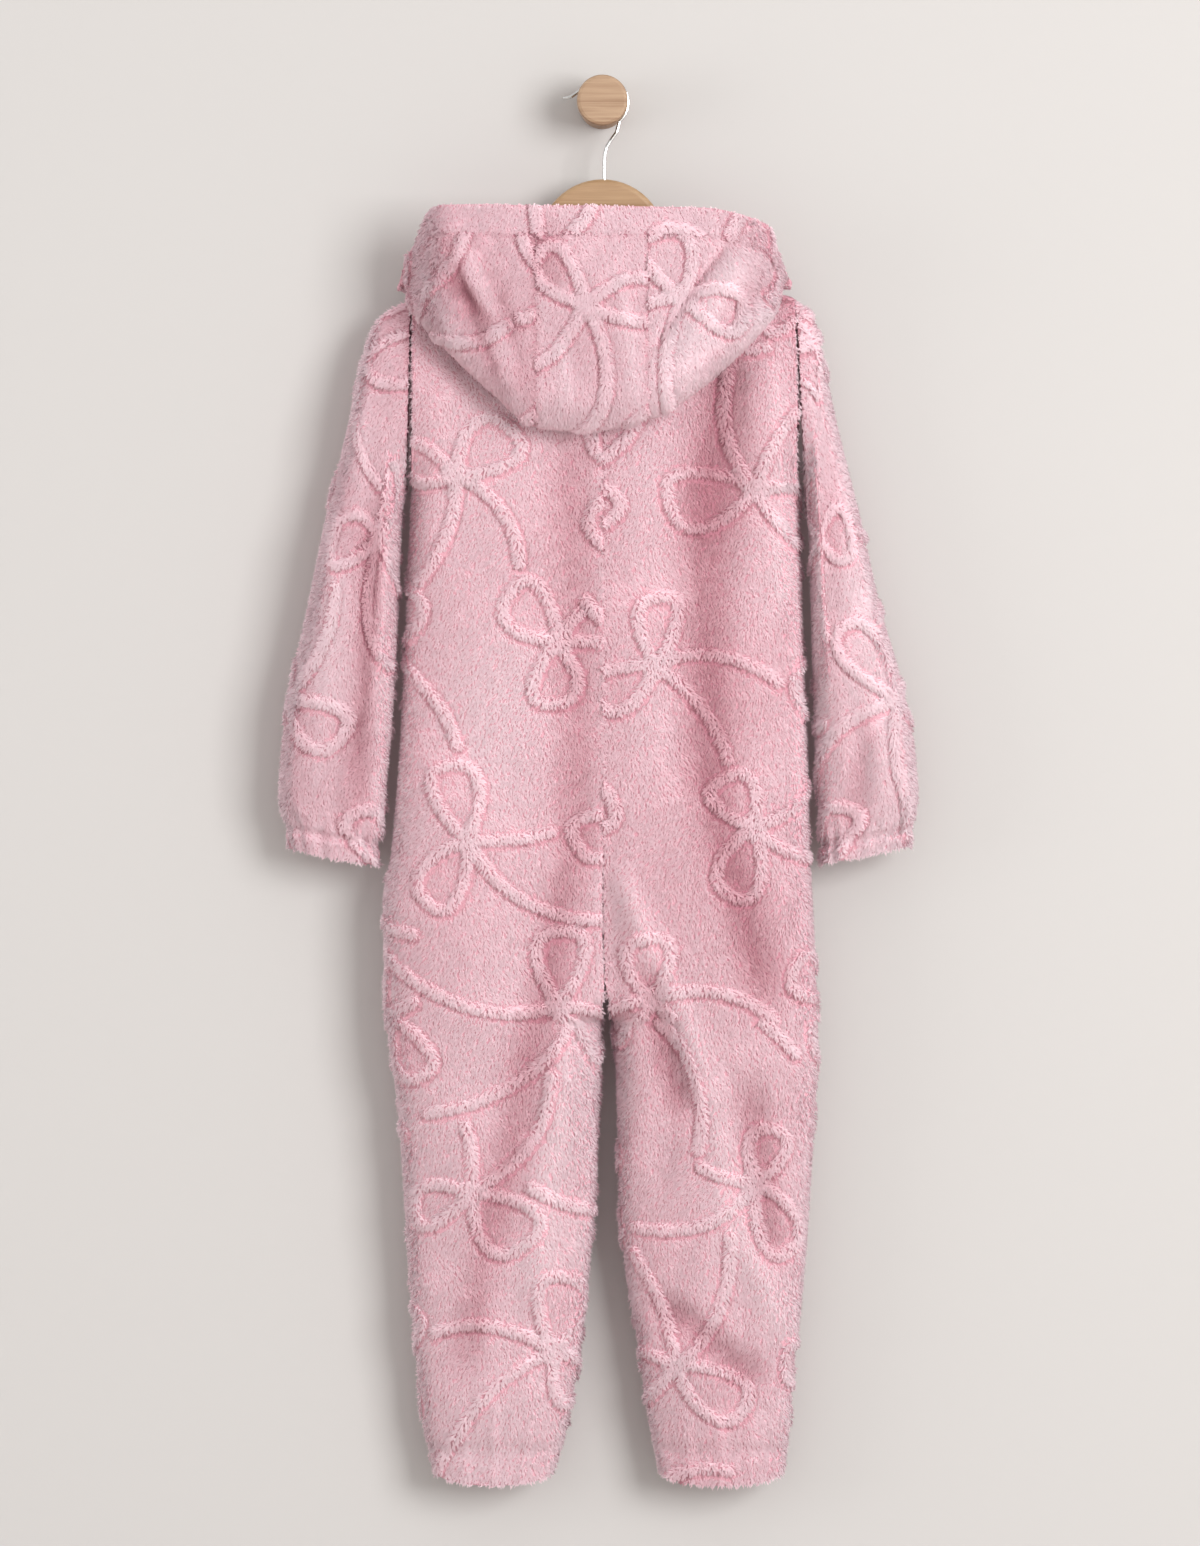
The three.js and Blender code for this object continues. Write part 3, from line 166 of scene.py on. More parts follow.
# Hood sections round the neck, from the nape (turn 0) to the zip (turn 1). "face" is the way, in degrees
# from the back, that the section's plane looks.
HOOD = {
    "left": table(
        "turn face foldX foldY foldDrop rimX rimY rimDrop",
        (0, 0, -8, -92, 283, -8, -99, 93),
        (0.12, 4, -56, -92, 279, -56, -99, 93),
        (0.25, 14, -92, -88, 250, -98, -98, 92),
        (0.36, 34, -128, -78, 216, -134, -93, 92),
        (0.42, 50, -146, -69, 198, -146, -84, 96),
        (0.47, 65, -158, -58, 181, -157, -70, 119),
        (0.51, 78, -164, -47, 168, -168, -53, 142),
        (0.55, 90, -159, -34, 155, -174, -35, 161),
        (0.6, 98, -137, -24, 145, -162, -21, 155),
        (0.7, 106, -90, -16, 130, -114, -13, 132),
        (0.85, 128, -46, -13, 138, -54, -10, 122),
        (1, 165, -5.8, -13, 148, -5.8, -10, 136),
    ),
    "right": table(
        "turn face foldX foldY foldDrop rimX rimY rimDrop",
        (0, 0, -8, -92, 283, -8, -99, 93),
        (0.12, 4, 39, -92, 273, 38, -99, 94),
        (0.25, 14, 84, -88, 245, 88, -98, 95),
        (0.36, 34, 118, -78, 214, 122, -93, 102),
        (0.42, 50, 136, -68, 194, 137, -84, 107),
        (0.47, 65, 147, -59, 177, 146, -71, 123),
        (0.51, 78, 152, -47, 161, 154, -55, 142),
        (0.55, 90, 147, -34, 152, 161, -35, 157),
        (0.6, 98, 128, -24, 142, 150, -21, 151),
        (0.7, 106, 88, -16, 130, 110, -13, 131),
        (0.85, 128, 46, -13, 138, 54, -10, 122),
        (1, 165, 5.8, -13, 148, 5.8, -10, 136),
    ),
}
STRIP_TURN = 0.12
NECK_LOOP_X = 66
NECK_LOOP_END = math.radians(175)
HOOD_BAND_WIDTH = 24
HOOD_BULGE = 12
FOLD_FULLNESS = 8
SHOULDER_LIFT = 8
STAND_RISE = 16
ROLL_RISE = 8
ROLL_TOP = 13
ROLL_REACH = 7.5
BODY_CLEAR = 1.3
SECTION_STEPS = 96
BAND_GAP = 0.6
LENGTH_STEP = 1.5
NECK_FADE = 16

# Soft folds of the body, as lines in the back view: how wide they are and how high they stand.
BACK_FOLDS = table(
    "x0 drop0 x1 drop1 width height",
    (128, 215, 142, 400, 17, 5),
    (96, 270, 104, 430, 18, -4),
    (-140, 220, -148, 420, 16, 4),
    (-95, 250, -118, 380, 20, -3),
    (30, 640, 26, 860, 16, 5),
    (-30, 700, -34, 900, 18, 4),
    (60, 780, 48, 930, 13, -4),
    (-60, 520, -40, 690, 26, 3),
    (100, 560, 120, 760, 26, 3.5),
    (-120, 860, -100, 1060, 18, 4),
    (-70, 930, -84, 1100, 14, -3.5),
    (92, 930, 78, 1100, 15, 4),
    (130, 880, 118, 1060, 14, -3.5),
)
FRONT_FOLDS = table(
    "x0 drop0 x1 drop1 width height",
    (-70, 300, -90, 520, 24, -3),
    (75, 260, 95, 470, 24, -3),
    (-60, 740, -80, 940, 20, -4),
    (70, 760, 92, 980, 20, -4),
)
SLEEVE_FOLDS = table(
    "turn start end width height",
    (0.2, 1, 6, 0.05, -3.5),
    (0.33, 2.5, 9, 0.05, 3.5),
    (0.13, 5, 11, 0.04, 3),
    (0.27, 7, 11.5, 0.04, -3.5),
    (0.72, 2, 9, 0.06, -3),
)
# Creases of the hood's outer face, as lines in the back view.
HOOD_FOLDS = table(
    "x0 drop0 x1 drop1 width height",
    (106, 124, 42, 216, 3.2, -5),
    (118, 132, 62, 226, 9, 4.5),
    (140, 150, 84, 238, 10, -3.4),
    (160, 172, 60, 228, 8, 4),
    (-134, 150, -88, 198, 7, -4.5),
    (-132, 128, -84, 250, 5, -3.6),
    (-118, 122, -72, 236, 8, 3.6),
    (-150, 150, -112, 226, 8, 3),
    (-92, 150, -60, 262, 8, -2.6),
    (-43, 98, -48, 168, 13, -3.5),
    (-36, 205, -28, 262, 6, 3.5),
    (14, 150, 30, 262, 7, 3.4),
)
# Softer folds that only this look has: where they run in the back view. The cloth is painted darker in their hollows,
# as painted shade, and paler on their ridges, as painted light.
BACK_DRAPE = table(
    "x0 drop0 x1 drop1 width height",
    (-95, 260, -95, 640, 38, 1.5),
    (104, 215, 91, 330, 20, -6),
    (92, 330, 90, 480, 22, -6),
    (90, 480, 90, 580, 22, -5.5),
    (90, 580, 142, 765, 20, -6),
    (126, 835, 145, 980, 14, -5),
    (147, 215, 150, 430, 9, 3),
    (40, 280, 44, 560, 20, 2),
    (-28, 280, -22, 450, 22, -4.5),
    (-22, 450, -22, 640, 22, -5),
    (-26, 640, -66, 832, 19, -6),
    (-66, 832, -121, 1075, 20, -6),
    (-30, 800, -58, 1010, 14, 3),
    (40, 740, 66, 855, 12, -5.5),
    (49, 1020, 134, 1085, 13, -5.5),
    (15, 655, 91, 835, 12, 4),
    (91, 835, 108, 940, 12, 3),
    (108, 940, 159, 1050, 14, 4),
)
SLEEVE_DRAPE = table(
    "x0 drop0 x1 drop1 width height",
    (-192, 320, -206, 590, 10, -6),
    (-224, 380, -244, 600, 13, 2.5),
    (-206, 250, -196, 380, 11, 2),
    (214, 380, 244, 600, 13, 2.5),
    (226, 520, 208, 640, 9, -3),
    (190, 300, 198, 520, 9, -2.5),
)
DRAPE_FADE = 0.3
# How strongly fold hollows get painted shade and fold ridges get painted light, per millimetre of fold height.
FOLD_PAINTED_SHADING = 0.068
LEG_TONE = 0.07
CUFF_TONE = 0.12
# Painted light and shade by piece: the right sleeve and hood are painted lighter as if lit from the right, the left
# ones and the back's right panel darker as painted shade.
PIECE_PAINTED_LIGHT = {
    "back_left": 0.02,
    "back_right": -0.07,
    "sleeve_left": -0.08,
    "sleeve_right": 0.04,
    "hood_left": -0.1,
    "hood_center": 0.0,
    "hood_right": 0.09,
    "hood_band": 0.03,
}
HEM_WAVES = 6
CUFF_WAVES = 12
GATHER_HEIGHT = 1.7
STITCH_PINCH = 2.2


def clamp(value, low, high):
    return np.minimum(high, np.maximum(low, value))


def mix(a, b, share):
    return a + (b - a) * share


def ease(share):
    s = clamp(share, 0, 1)
    return s * s * (3 - 2 * s)


def unit(vectors):
    return vectors / np.maximum(np.linalg.norm(vectors, axis=-1, keepdims=True), 1e-9)


def through(at, value):
    """A smooth curve through one column of a table. It never overshoots the sizes in the rows."""
    rise = np.diff(value) / np.diff(at)
    slope = np.zeros_like(value)
    slope[0] = rise[0]
    slope[-1] = rise[-1]
    same_way = rise[:-1] * rise[1:] > 0
    total = np.where(same_way, rise[:-1] + rise[1:], 1)
    slope[1:-1] = np.where(same_way, 2 * rise[:-1] * rise[1:] / total, 0)

    def curve(x):
        x = clamp(np.asarray(x, float), at[0], at[-1])
        i = np.clip(np.searchsorted(at, x) - 1, 0, len(at) - 2)
        span = at[i + 1] - at[i]
        s = (x - at[i]) / span
        near = (1 + 2 * s) * (1 - s) ** 2 * value[i] + s * s * (3 - 2 * s) * value[i + 1]
        return near + span * (s * (1 - s) ** 2 * slope[i] - s * s * (1 - s) * slope[i + 1])

    return curve


def curves(columns, along):
    return {name: through(columns[along], values) for name, values in columns.items() if name != along}


outline = curves(OUTLINE, "drop")
inseam = curves(INSEAM, "drop")
sleeve_curves = {side: curves(rows, "at") for side, rows in SLEEVE.items()}
sleeve_y = through(SLEEVE_Y["at"], SLEEVE_Y["y"])
hood_curves = {side: curves(rows, "turn") for side, rows in HOOD.items()}


def line_height(folds, x, drop, fade=0.4):
    """Height of a table's folds at places of the back view. fade is how much of a line its soft ends take."""
    height = np.zeros(np.broadcast(x, drop).shape)
    for x0, drop0, x1, drop1, width, rise in zip(*folds.values()):
        dx, dd = x1 - x0, drop1 - drop0
        length = math.hypot(dx, dd)
        along = ((x - x0) * dx + (drop - drop0) * dd) / length**2
        across = ((x - x0) * dd - (drop - drop0) * dx) / length
        ends = ease((along + 0.15) / fade) * ease((1.15 - along) / fade)
        height += rise * ends * np.exp(-((across / width) ** 2))
    return height


def leg_share(drop):
    down = clamp((drop - CROTCH_TOP_DROP) / (CROTCH_END_DROP - CROTCH_TOP_DROP), 0, 1)
    return 1 - np.sqrt(1 - down * down)


def leg_round(s):
    return (1 - np.abs(2 * clamp(s, 0, 1) - 1) ** 2.3) ** (1 / 2.3)


def body_round(s, drop):
    """Depth across half the body as a share of the full depth. s goes from the middle to the side."""
    plain = (1 - clamp(s, 0, 1) ** 2.5) ** (1 / 2.5)
    seat = np.where(s < 0.5, 1 - SEAT_HOLLOW * (1 - 2 * s) ** 2, leg_round(s))
    return mix(plain, seat, ease((drop - 420) / (CROTCH_TOP_DROP - 420)))


def armhole_depth(drop):
    middle = (SHOULDER_DROP + ARMPIT_DROP) / 2
    away = clamp((drop - middle) / (ARMHOLE_TALL / 2), -1, 1)
    return SLEEVE["left"]["half"][0] * np.sqrt(1 - away * away)


def top_drop(face, share):
    """The panel's top edge: the neckline, then the shoulder seam."""
    centre = NAPE_DROP if face == "back" else FRONT_NECK_DROP
    neck = mix(centre, NECK_SIDE_DROP, clamp(share / NECK_SHARE, 0, 1) ** 2.4)
    shoulder = mix(NECK_SIDE_DROP, SHOULDER_DROP, (share - NECK_SHARE) / (1 - NECK_SHARE))
    return np.where(share >= NECK_SHARE, shoulder, neck)


def hem_relief(drop, t):
    """Gathers above the elastic hem, the pinch of its stitch line and the casing's own swell."""
    near = ease((drop - HEM_STITCH_DROP + 60) / 50)
    gathers = np.cos(2 * np.pi * HEM_WAVES * t) + 0.5 * np.cos(2 * np.pi * HEM_WAVES * 2.3 * t + 1)
    gathers *= 0.6 + 0.4 * np.cos(2 * np.pi * 1.7 * t + 1.2)
    pinch = np.exp(-(((drop - HEM_STITCH_DROP) / 3.5) ** 2))
    return 0.7 * GATHER_HEIGHT * near * gathers - STITCH_PINCH * pinch


def yoke_points(side, face, t, share):
    """Points of a body panel above the armpit. share goes from the top edge to the armpit."""
    sign = -1 if side == "left" else 1
    across = np.sin(np.pi / 2 * t)
    top = top_drop(face, across)
    drop = mix(top, ARMPIT_DROP, share)
    zip_room = ZIP_GROOVE / 2 if face == "front" else 0
    inner_x = inseam["seam"](drop) + sign * (inseam[side](drop) + SEAM_GAP / 2 + zip_room)
    down = clamp((drop - SHOULDER_DROP) / ARMHOLE_TALL, 0, 1)
    outer_x = mix(SHOULDER_X[side], sign * outline[side](ARMPIT_DROP), down)
    x = mix(inner_x, outer_x, across)
    edge = armhole_depth(drop)
    rounded = 1 - clamp((drop - top) / SHOULDER_ROUND, 0, 1)
    swell = np.sqrt(1 - rounded * rounded)
    neck = NECK_DEPTH[face] * np.sqrt(1 - clamp(across / NECK_SHARE, 0, 1) ** 2.2)
    full = outline[face](drop)
    depth = (1 - swell) * neck + edge + swell * np.maximum(0, full - edge) * body_round(across, drop)
    return with_depth(face, t, x, drop, depth)


def lower_points(side, face, t, drop):
    """Points of a body panel from the armpit to the hem."""
    sign = -1 if side == "left" else 1
    sag = HEM_SAG * ease((drop - 1070) / (HEM_DROP - 1070))
    drop = drop + sag * np.sin(np.pi * t)
    leg = leg_share(drop)
    evenly = ease((drop - 520) / (CROTCH_TOP_DROP - 520))
    across = mix(np.sin(np.pi / 2 * t), (1 - np.cos(np.pi * t)) / 2, evenly)
    zip_room = (ZIP_GROOVE / 2) * ease((704 - drop) / 10) if face == "front" else 0
    inner_x = inseam["seam"](drop) + sign * (inseam[side](drop) + SEAM_GAP / 2 + zip_room)
    x = mix(inner_x, sign * outline[side](drop), across)
    depth = outline[face](drop) * mix(body_round(across, drop), leg_round(across), leg)
    return with_depth(face, t, x, drop, depth)


def with_depth(face, t, x, drop, depth):
    at_seams = ease(depth / 14)
    folds = BACK_FOLDS if face == "back" else FRONT_FOLDS
    depth = depth + at_seams * (line_height(folds, x, drop) + hem_relief(drop, t))
    y = outline["sideY"](drop) + (-1 if face == "back" else 1) * (depth + SEAM_GAP / 2)
    return np.stack(np.broadcast_arrays(x, y, -drop), axis=-1)


def refined(values, step):
    """A rising list with points added between its own, so that no step is longer than the given one."""
    parts = [
        np.linspace(a, b, max(1, math.ceil((b - a) / step)), endpoint=False)
        for a, b in zip(values, values[1:])
    ]
    return np.concatenate([*parts, [values[-1]]])


YOKE_SHARES = [0, 0.008, 0.022, 0.05, 0.1, 0.17, 1]
BODY_DROPS = [ARMPIT_DROP, 692, 704, CROTCH_TOP_DROP, 762, 770, 776, 780, CROTCH_END_DROP, HEM_DROP]


def panel_grid(side, face, step):
    """Rows of points from the panel's top edge to the hem, each from the centre seam to the side."""
    t = np.linspace(0, 1, round(200 / step) + 1)[None, :]
    shares = refined(YOKE_SHARES, step / 190)[:-1, None]
    drops = refined(BODY_DROPS, step)[:, None]
    return np.concatenate([yoke_points(side, face, t, shares), lower_points(side, face, t, drops)])


def sleeve_grid(side, step):
    """Rings of points from armhole to cuff. A ring starts and ends at the underarm seam."""
    c = sleeve_curves[side]
    sign = -1 if side == "left" else 1
    turn = np.linspace(-0.5, 0.5, round(330 / step) + 1)[None, :]
    s = refined([0, 0.35, 1, 9, 10.6, 11.1, 11.5, SLEEVE_END], step / 40)[:, None]
    outer = np.stack(np.broadcast_arrays(sign * c["outX"](s), 0 * s, -c["outDrop"](s)), axis=-1)
    inner = np.stack(np.broadcast_arrays(sign * c["inX"](s), 0 * s, -c["inDrop"](s)), axis=-1)
    middle = (outer + inner) / 2
    reach = (outer - inner) / 2
    wrapped = turn % 1
    relief = np.zeros(np.broadcast(turn, s).shape)
    for place, start, end, width, height in zip(*SLEEVE_FOLDS.values()):
        ends = ease((s - start) / 1.5) * ease((end - s) / 1.5)
        relief += height * ends * np.exp(-(((wrapped - place) / width) ** 2))
    gathers = np.cos(2 * np.pi * CUFF_WAVES * turn) + 0.6 * np.cos(2 * np.pi * 19 * turn + 2)
    gathers *= 0.65 + 0.35 * np.cos(2 * np.pi * 5 * turn + 0.6)
    relief += 0.8 * GATHER_HEIGHT * ease((s - 9.6) / 1.6) * gathers
    relief -= STITCH_PINCH * np.exp(-(((s - CUFF_STITCH_AT) / 0.16) ** 2))
    angle = 2 * np.pi * turn
    long = np.linalg.norm(reach, axis=-1) + relief
    deep = c["half"](s) + relief
    points = middle + unit(reach) * (long * np.cos(angle))[..., None]
    side_y = mix(outline["sideY"](-points[..., 2]), sleeve_y(s), ease(s / 2))
    points[..., 1] = side_y - deep * np.sin(angle)
    return points


def back_face_y(side, x, drop):
    """Where the back's outer face lies at places of the back view."""
    across = clamp(x / abs(SHOULDER_X[side]), 0, 1)
    top = top_drop("back", across)
    t = np.arcsin(across) / (np.pi / 2)
    share = clamp((drop - top) / (ARMPIT_DROP - top), 0, 1)
    return np.where(drop < top, 0, yoke_points(side, "back", t, share)[..., 1])


def hood_section(turn):
    """Control points of one hood section, from the neck seam over a small roll, down to the fold and up to the rim."""
    at = abs(turn)
    sign = -1 if turn < 0 else 1
    shape = hood_curves["left" if turn < 0 else "right"]
    angle = NECK_LOOP_END * at
    face = "back" if math.cos(angle) > 0 else "front"
    neck_depth = NECK_DEPTH[face] - WALL / 2
    neck_x = NECK_LOOP_X * math.sin(angle)
    neck_drop = float(top_drop(face, min(1, neck_x / NECK_HALF_WIDTH) * NECK_SHARE))
    neck = np.array([sign * neck_x, HANGER_Y - neck_depth * math.cos(angle), REST_GAP - neck_drop])
    out = unit(np.array([sign * math.sin(angle) * neck_depth, -math.cos(angle) * NECK_LOOP_X, 0]))
    up = np.array([0, 0, 1.0])
    back = np.array([0, -1.0, 0])
    after_roll = neck + out * 2 * ROLL_REACH + up * ROLL_RISE
    fold = np.array([shape["foldX"](at), shape["foldY"](at), -shape["foldDrop"](at)])
    rim = np.array([shape["rimX"](at), shape["rimY"](at), -shape["rimDrop"](at)])
    tall = np.linalg.norm(rim - fold)
    folded = ease((0.56 - at) / 0.09)
    bulge = folded * HOOD_BULGE * ease((tall - 12) / 110)
    fullness = folded * FOLD_FULLNESS * ease((tall - 12) / 30)
    lift = SHOULDER_LIFT * ease((at - 0.3) / 0.12) * ease((0.7 - at) / 0.12)
    near = mix(after_roll, fold, 0.5) + up * lift
    low = mix(fold, rim, 0.3) + back * bulge
    high = mix(fold, rim, 0.72) + back * bulge * 0.7
    rolled = np.array([
        neck,
        neck + out * 0.6 + up * ROLL_RISE,
        neck + out * ROLL_REACH + up * ROLL_TOP,
        after_roll,
        near,
        mix(fold, near, 0.2) - back * fullness,
        fold,
        mix(fold, low, 0.35) + back * fullness,
        low,
        high,
        rim,
    ])
    k = np.linspace(0, 1, len(rolled))[:, None]
    standing = (1 - k) ** 2 * neck + 2 * k * (1 - k) * (neck + up * STAND_RISE) + k * k * rim
    return mix(rolled, standing, ease((at - 0.56) / 0.3))


def section_line(turn):
    """One hood section as points at even steps, with the length run so far at each of them."""
    points = hood_section(turn)
    knots = np.concatenate([[0], np.cumsum(np.sqrt(np.linalg.norm(np.diff(points, axis=0), axis=1)))])
    span = np.diff(knots)
    rise = np.diff(points, axis=0) / span[:, None]
    tangents = np.empty_like(points)
    tangents[0] = rise[0]
    tangents[-1] = rise[-1]
    before, after = span[:-1, None], span[1:, None]
    tangents[1:-1] = (rise[:-1] * after + rise[1:] * before) / (before + after)
    share = np.linspace(0, 1, SECTION_STEPS + 1)
    knot = share * knots[-1]
    i = np.clip(np.searchsorted(knots, knot) - 1, 0, len(span) - 1)
    s = ((knot - knots[i]) / span[i])[:, None]
    wide = span[i][:, None]
    line = (
        (1 + 2 * s) * (1 - s) ** 2 * points[i]
        + s * s * (3 - 2 * s) * points[i + 1]
        + wide * s * (1 - s) ** 2 * tangents[i]
        - wide * s * s * (1 - s) * tangents[i + 1]
    )
    if abs(turn) <= 0.5:
        for side, here in (("left", line[:, 0] < 0), ("right", line[:, 0] >= 0)):
            here &= share <= 0.62
            most = back_face_y(side, np.abs(line[here, 0]), -line[here, 2]) - WALL / 2 - BODY_CLEAR
            line[here, 1] = np.minimum(line[here, 1], most)
    steps = np.linalg.norm(np.diff(line, axis=0), axis=1)
    return line, np.concatenate([[0], np.cumsum(steps)])


def neck_edge_z(x, y):
    share = clamp(np.abs(x) / NECK_HALF_WIDTH, 0, 1.1) * NECK_SHARE
    return -np.where(y < HANGER_Y, top_drop("back", share), top_drop("front", share))


def hood_column(turn, places):
    """Outer points and normals of one hood section. place is 0 to 1 on the panel and 1 to 2 on the rim band."""
    line, lengths = section_line(turn)
    length = lengths[-1]
    seam = length - min(HOOD_BAND_WIDTH, length * 0.7)
    on_band = mix(seam + BAND_GAP / 2, length, places - 1)
    here = np.where(places > 1, on_band, clamp(places, 0, 1) * (seam - BAND_GAP / 2))

    def along(distance):
        return np.stack([np.interp(distance, lengths, line[:, i]) for i in range(3)], axis=-1)

    middle = along(here)
    up = along(np.minimum(length, here + LENGTH_STEP)) - along(np.maximum(0, here - LENGTH_STEP))
    face = math.radians(float(hood_curves["left" if turn < 0 else "right"]["face"](abs(turn))))
    around = np.array([math.cos(face), (-1 if turn < 0 else 1) * math.sin(face), 0])
    normal = unit(np.cross(around, up))
    outer = middle + normal * WALL / 2
    at_neck = 1 - ease(here / NECK_FADE)
    outer[:, 2] += at_neck * (neck_edge_z(outer[:, 0], outer[:, 1]) - neck_edge_z(middle[:, 0], middle[:, 1]))
    return outer, normal, length - here


SIDE_TURNS = [0.12, 0.18, 0.24, 0.3, 0.35, 0.39, 0.42, 0.445, 0.47, 0.49, 0.51, 0.53, 0.55, 0.575, 0.6, 0.65]
SIDE_TURNS += [0.7, 0.78, 0.88, 1]


def hood_grid(turns, places, shifted):
    """Rows of hood points from the neck to the rim, with their normals and their length from the rim."""
    columns = [hood_column(turn, places) for turn in turns]
    points, normals, from_rim = (np.stack(part, axis=1) for part in zip(*columns))
    if shifted:
        points[:, 0, 0] += SEAM_GAP / 2
        points[:, -1, 0] -= SEAM_GAP / 2
    return points, normals, from_rim


# The sculpted pattern: bows drawn as raised rolls of pile, with a crevice beside each roll. It is laid out
# on each cut piece by itself, so the bows break off at the seams.
FIELD_STEP = 1.0
ROLL_HALF = 5.5
ROLL_HEIGHT = 3.0
CREVICE_AT = 6.5
CREVICE_HALF = 1.3
CREVICE_DEPTH = 0.8
FIELD_REACH = 13
BOW_PITCH_U = 164
BOW_PITCH_V = 150
BOW_JITTER = 12
TAIL_CLEAR = 12.5
TAIL_FREE_SHARE = 0.3
BOW_LOOPS = table(
    "reach wide tilt",
    (60, 46, -28),
    (56, 42, 204),
)
BOW_TAILS = table(
    "x1 y1 x2 y2 x3 y3",
    (30, 24, 52, 74, 20, 128),
    (-6, 40, -30, 78, -84, 92),
)
BOW_KNOT = 6.5


# One loop's corners, from the knot and back, as shares of its reach and its width.
LOOP_CORNERS = ((0, 0.02), (0.3, 0.3), (0.72, 0.52), (0.98, 0.46), (1.03, 0.1), (0.94, -0.34), (0.6, -0.42), (0.28, -0.24))
CORNER_CUTS = 3


def loop_line(reach, wide, tilt):
    """A bow's loop: a rounded triangle that widens from the knot."""
    line = np.array(LOOP_CORNERS) * (reach, wide)
    for _ in range(CORNER_CUTS):
        after = np.roll(line, -1, axis=0)
        line = np.stack([0.75 * line + 0.25 * after, 0.25 * line + 0.75 * after], axis=1).reshape(-1, 2)
    c, s = math.cos(math.radians(tilt)), math.sin(math.radians(tilt))
    line = np.concatenate([line, line[:1]])
    return np.stack([c * line[:, 0] - s * line[:, 1], s * line[:, 0] + c * line[:, 1]], axis=1)


def tail_line(x1, y1, x2, y2, x3, y3):
    """A bow's tail, as a Bezier curve down from the knot."""
    k = np.linspace(0, 1, 25)[:, None]
    first = 3 * k * (1 - k) ** 2 * np.array([x1, y1])
    second = 3 * k * k * (1 - k) * np.array([x2, y2])
    return first + second + k**3 * np.array([x3, y3])


def knot_line():
    a = np.linspace(0, 2 * np.pi, 13)
    return np.stack([BOW_KNOT * np.cos(a), BOW_KNOT * 0.8 * np.sin(a)], axis=1)


def bow_lines(centre, turned, scale, mirrored, rng):
    """The lines of one bow in cloth coordinates, with its loops and tails a little uneven."""
    lines = []
    for reach, wide, tilt in zip(*BOW_LOOPS.values()):
        uneven = rng.uniform(0.85, 1.15, 2)
        lines.append(loop_line(reach * uneven[0], wide * uneven[1], tilt + rng.uniform(-9, 9)))
    for row in zip(*BOW_TAILS.values()):
        lines.append(tail_line(*(np.array(row) * rng.uniform(0.85, 1.2, 6))))
    lines.append(knot_line())
    flip = np.array([-1 if mirrored else 1, 1])
    c, s = math.cos(turned), math.sin(turned)
    spin = np.array([[c, s], [-s, c]])
    return [centre + scale * (line * flip) @ spin for line in lines]


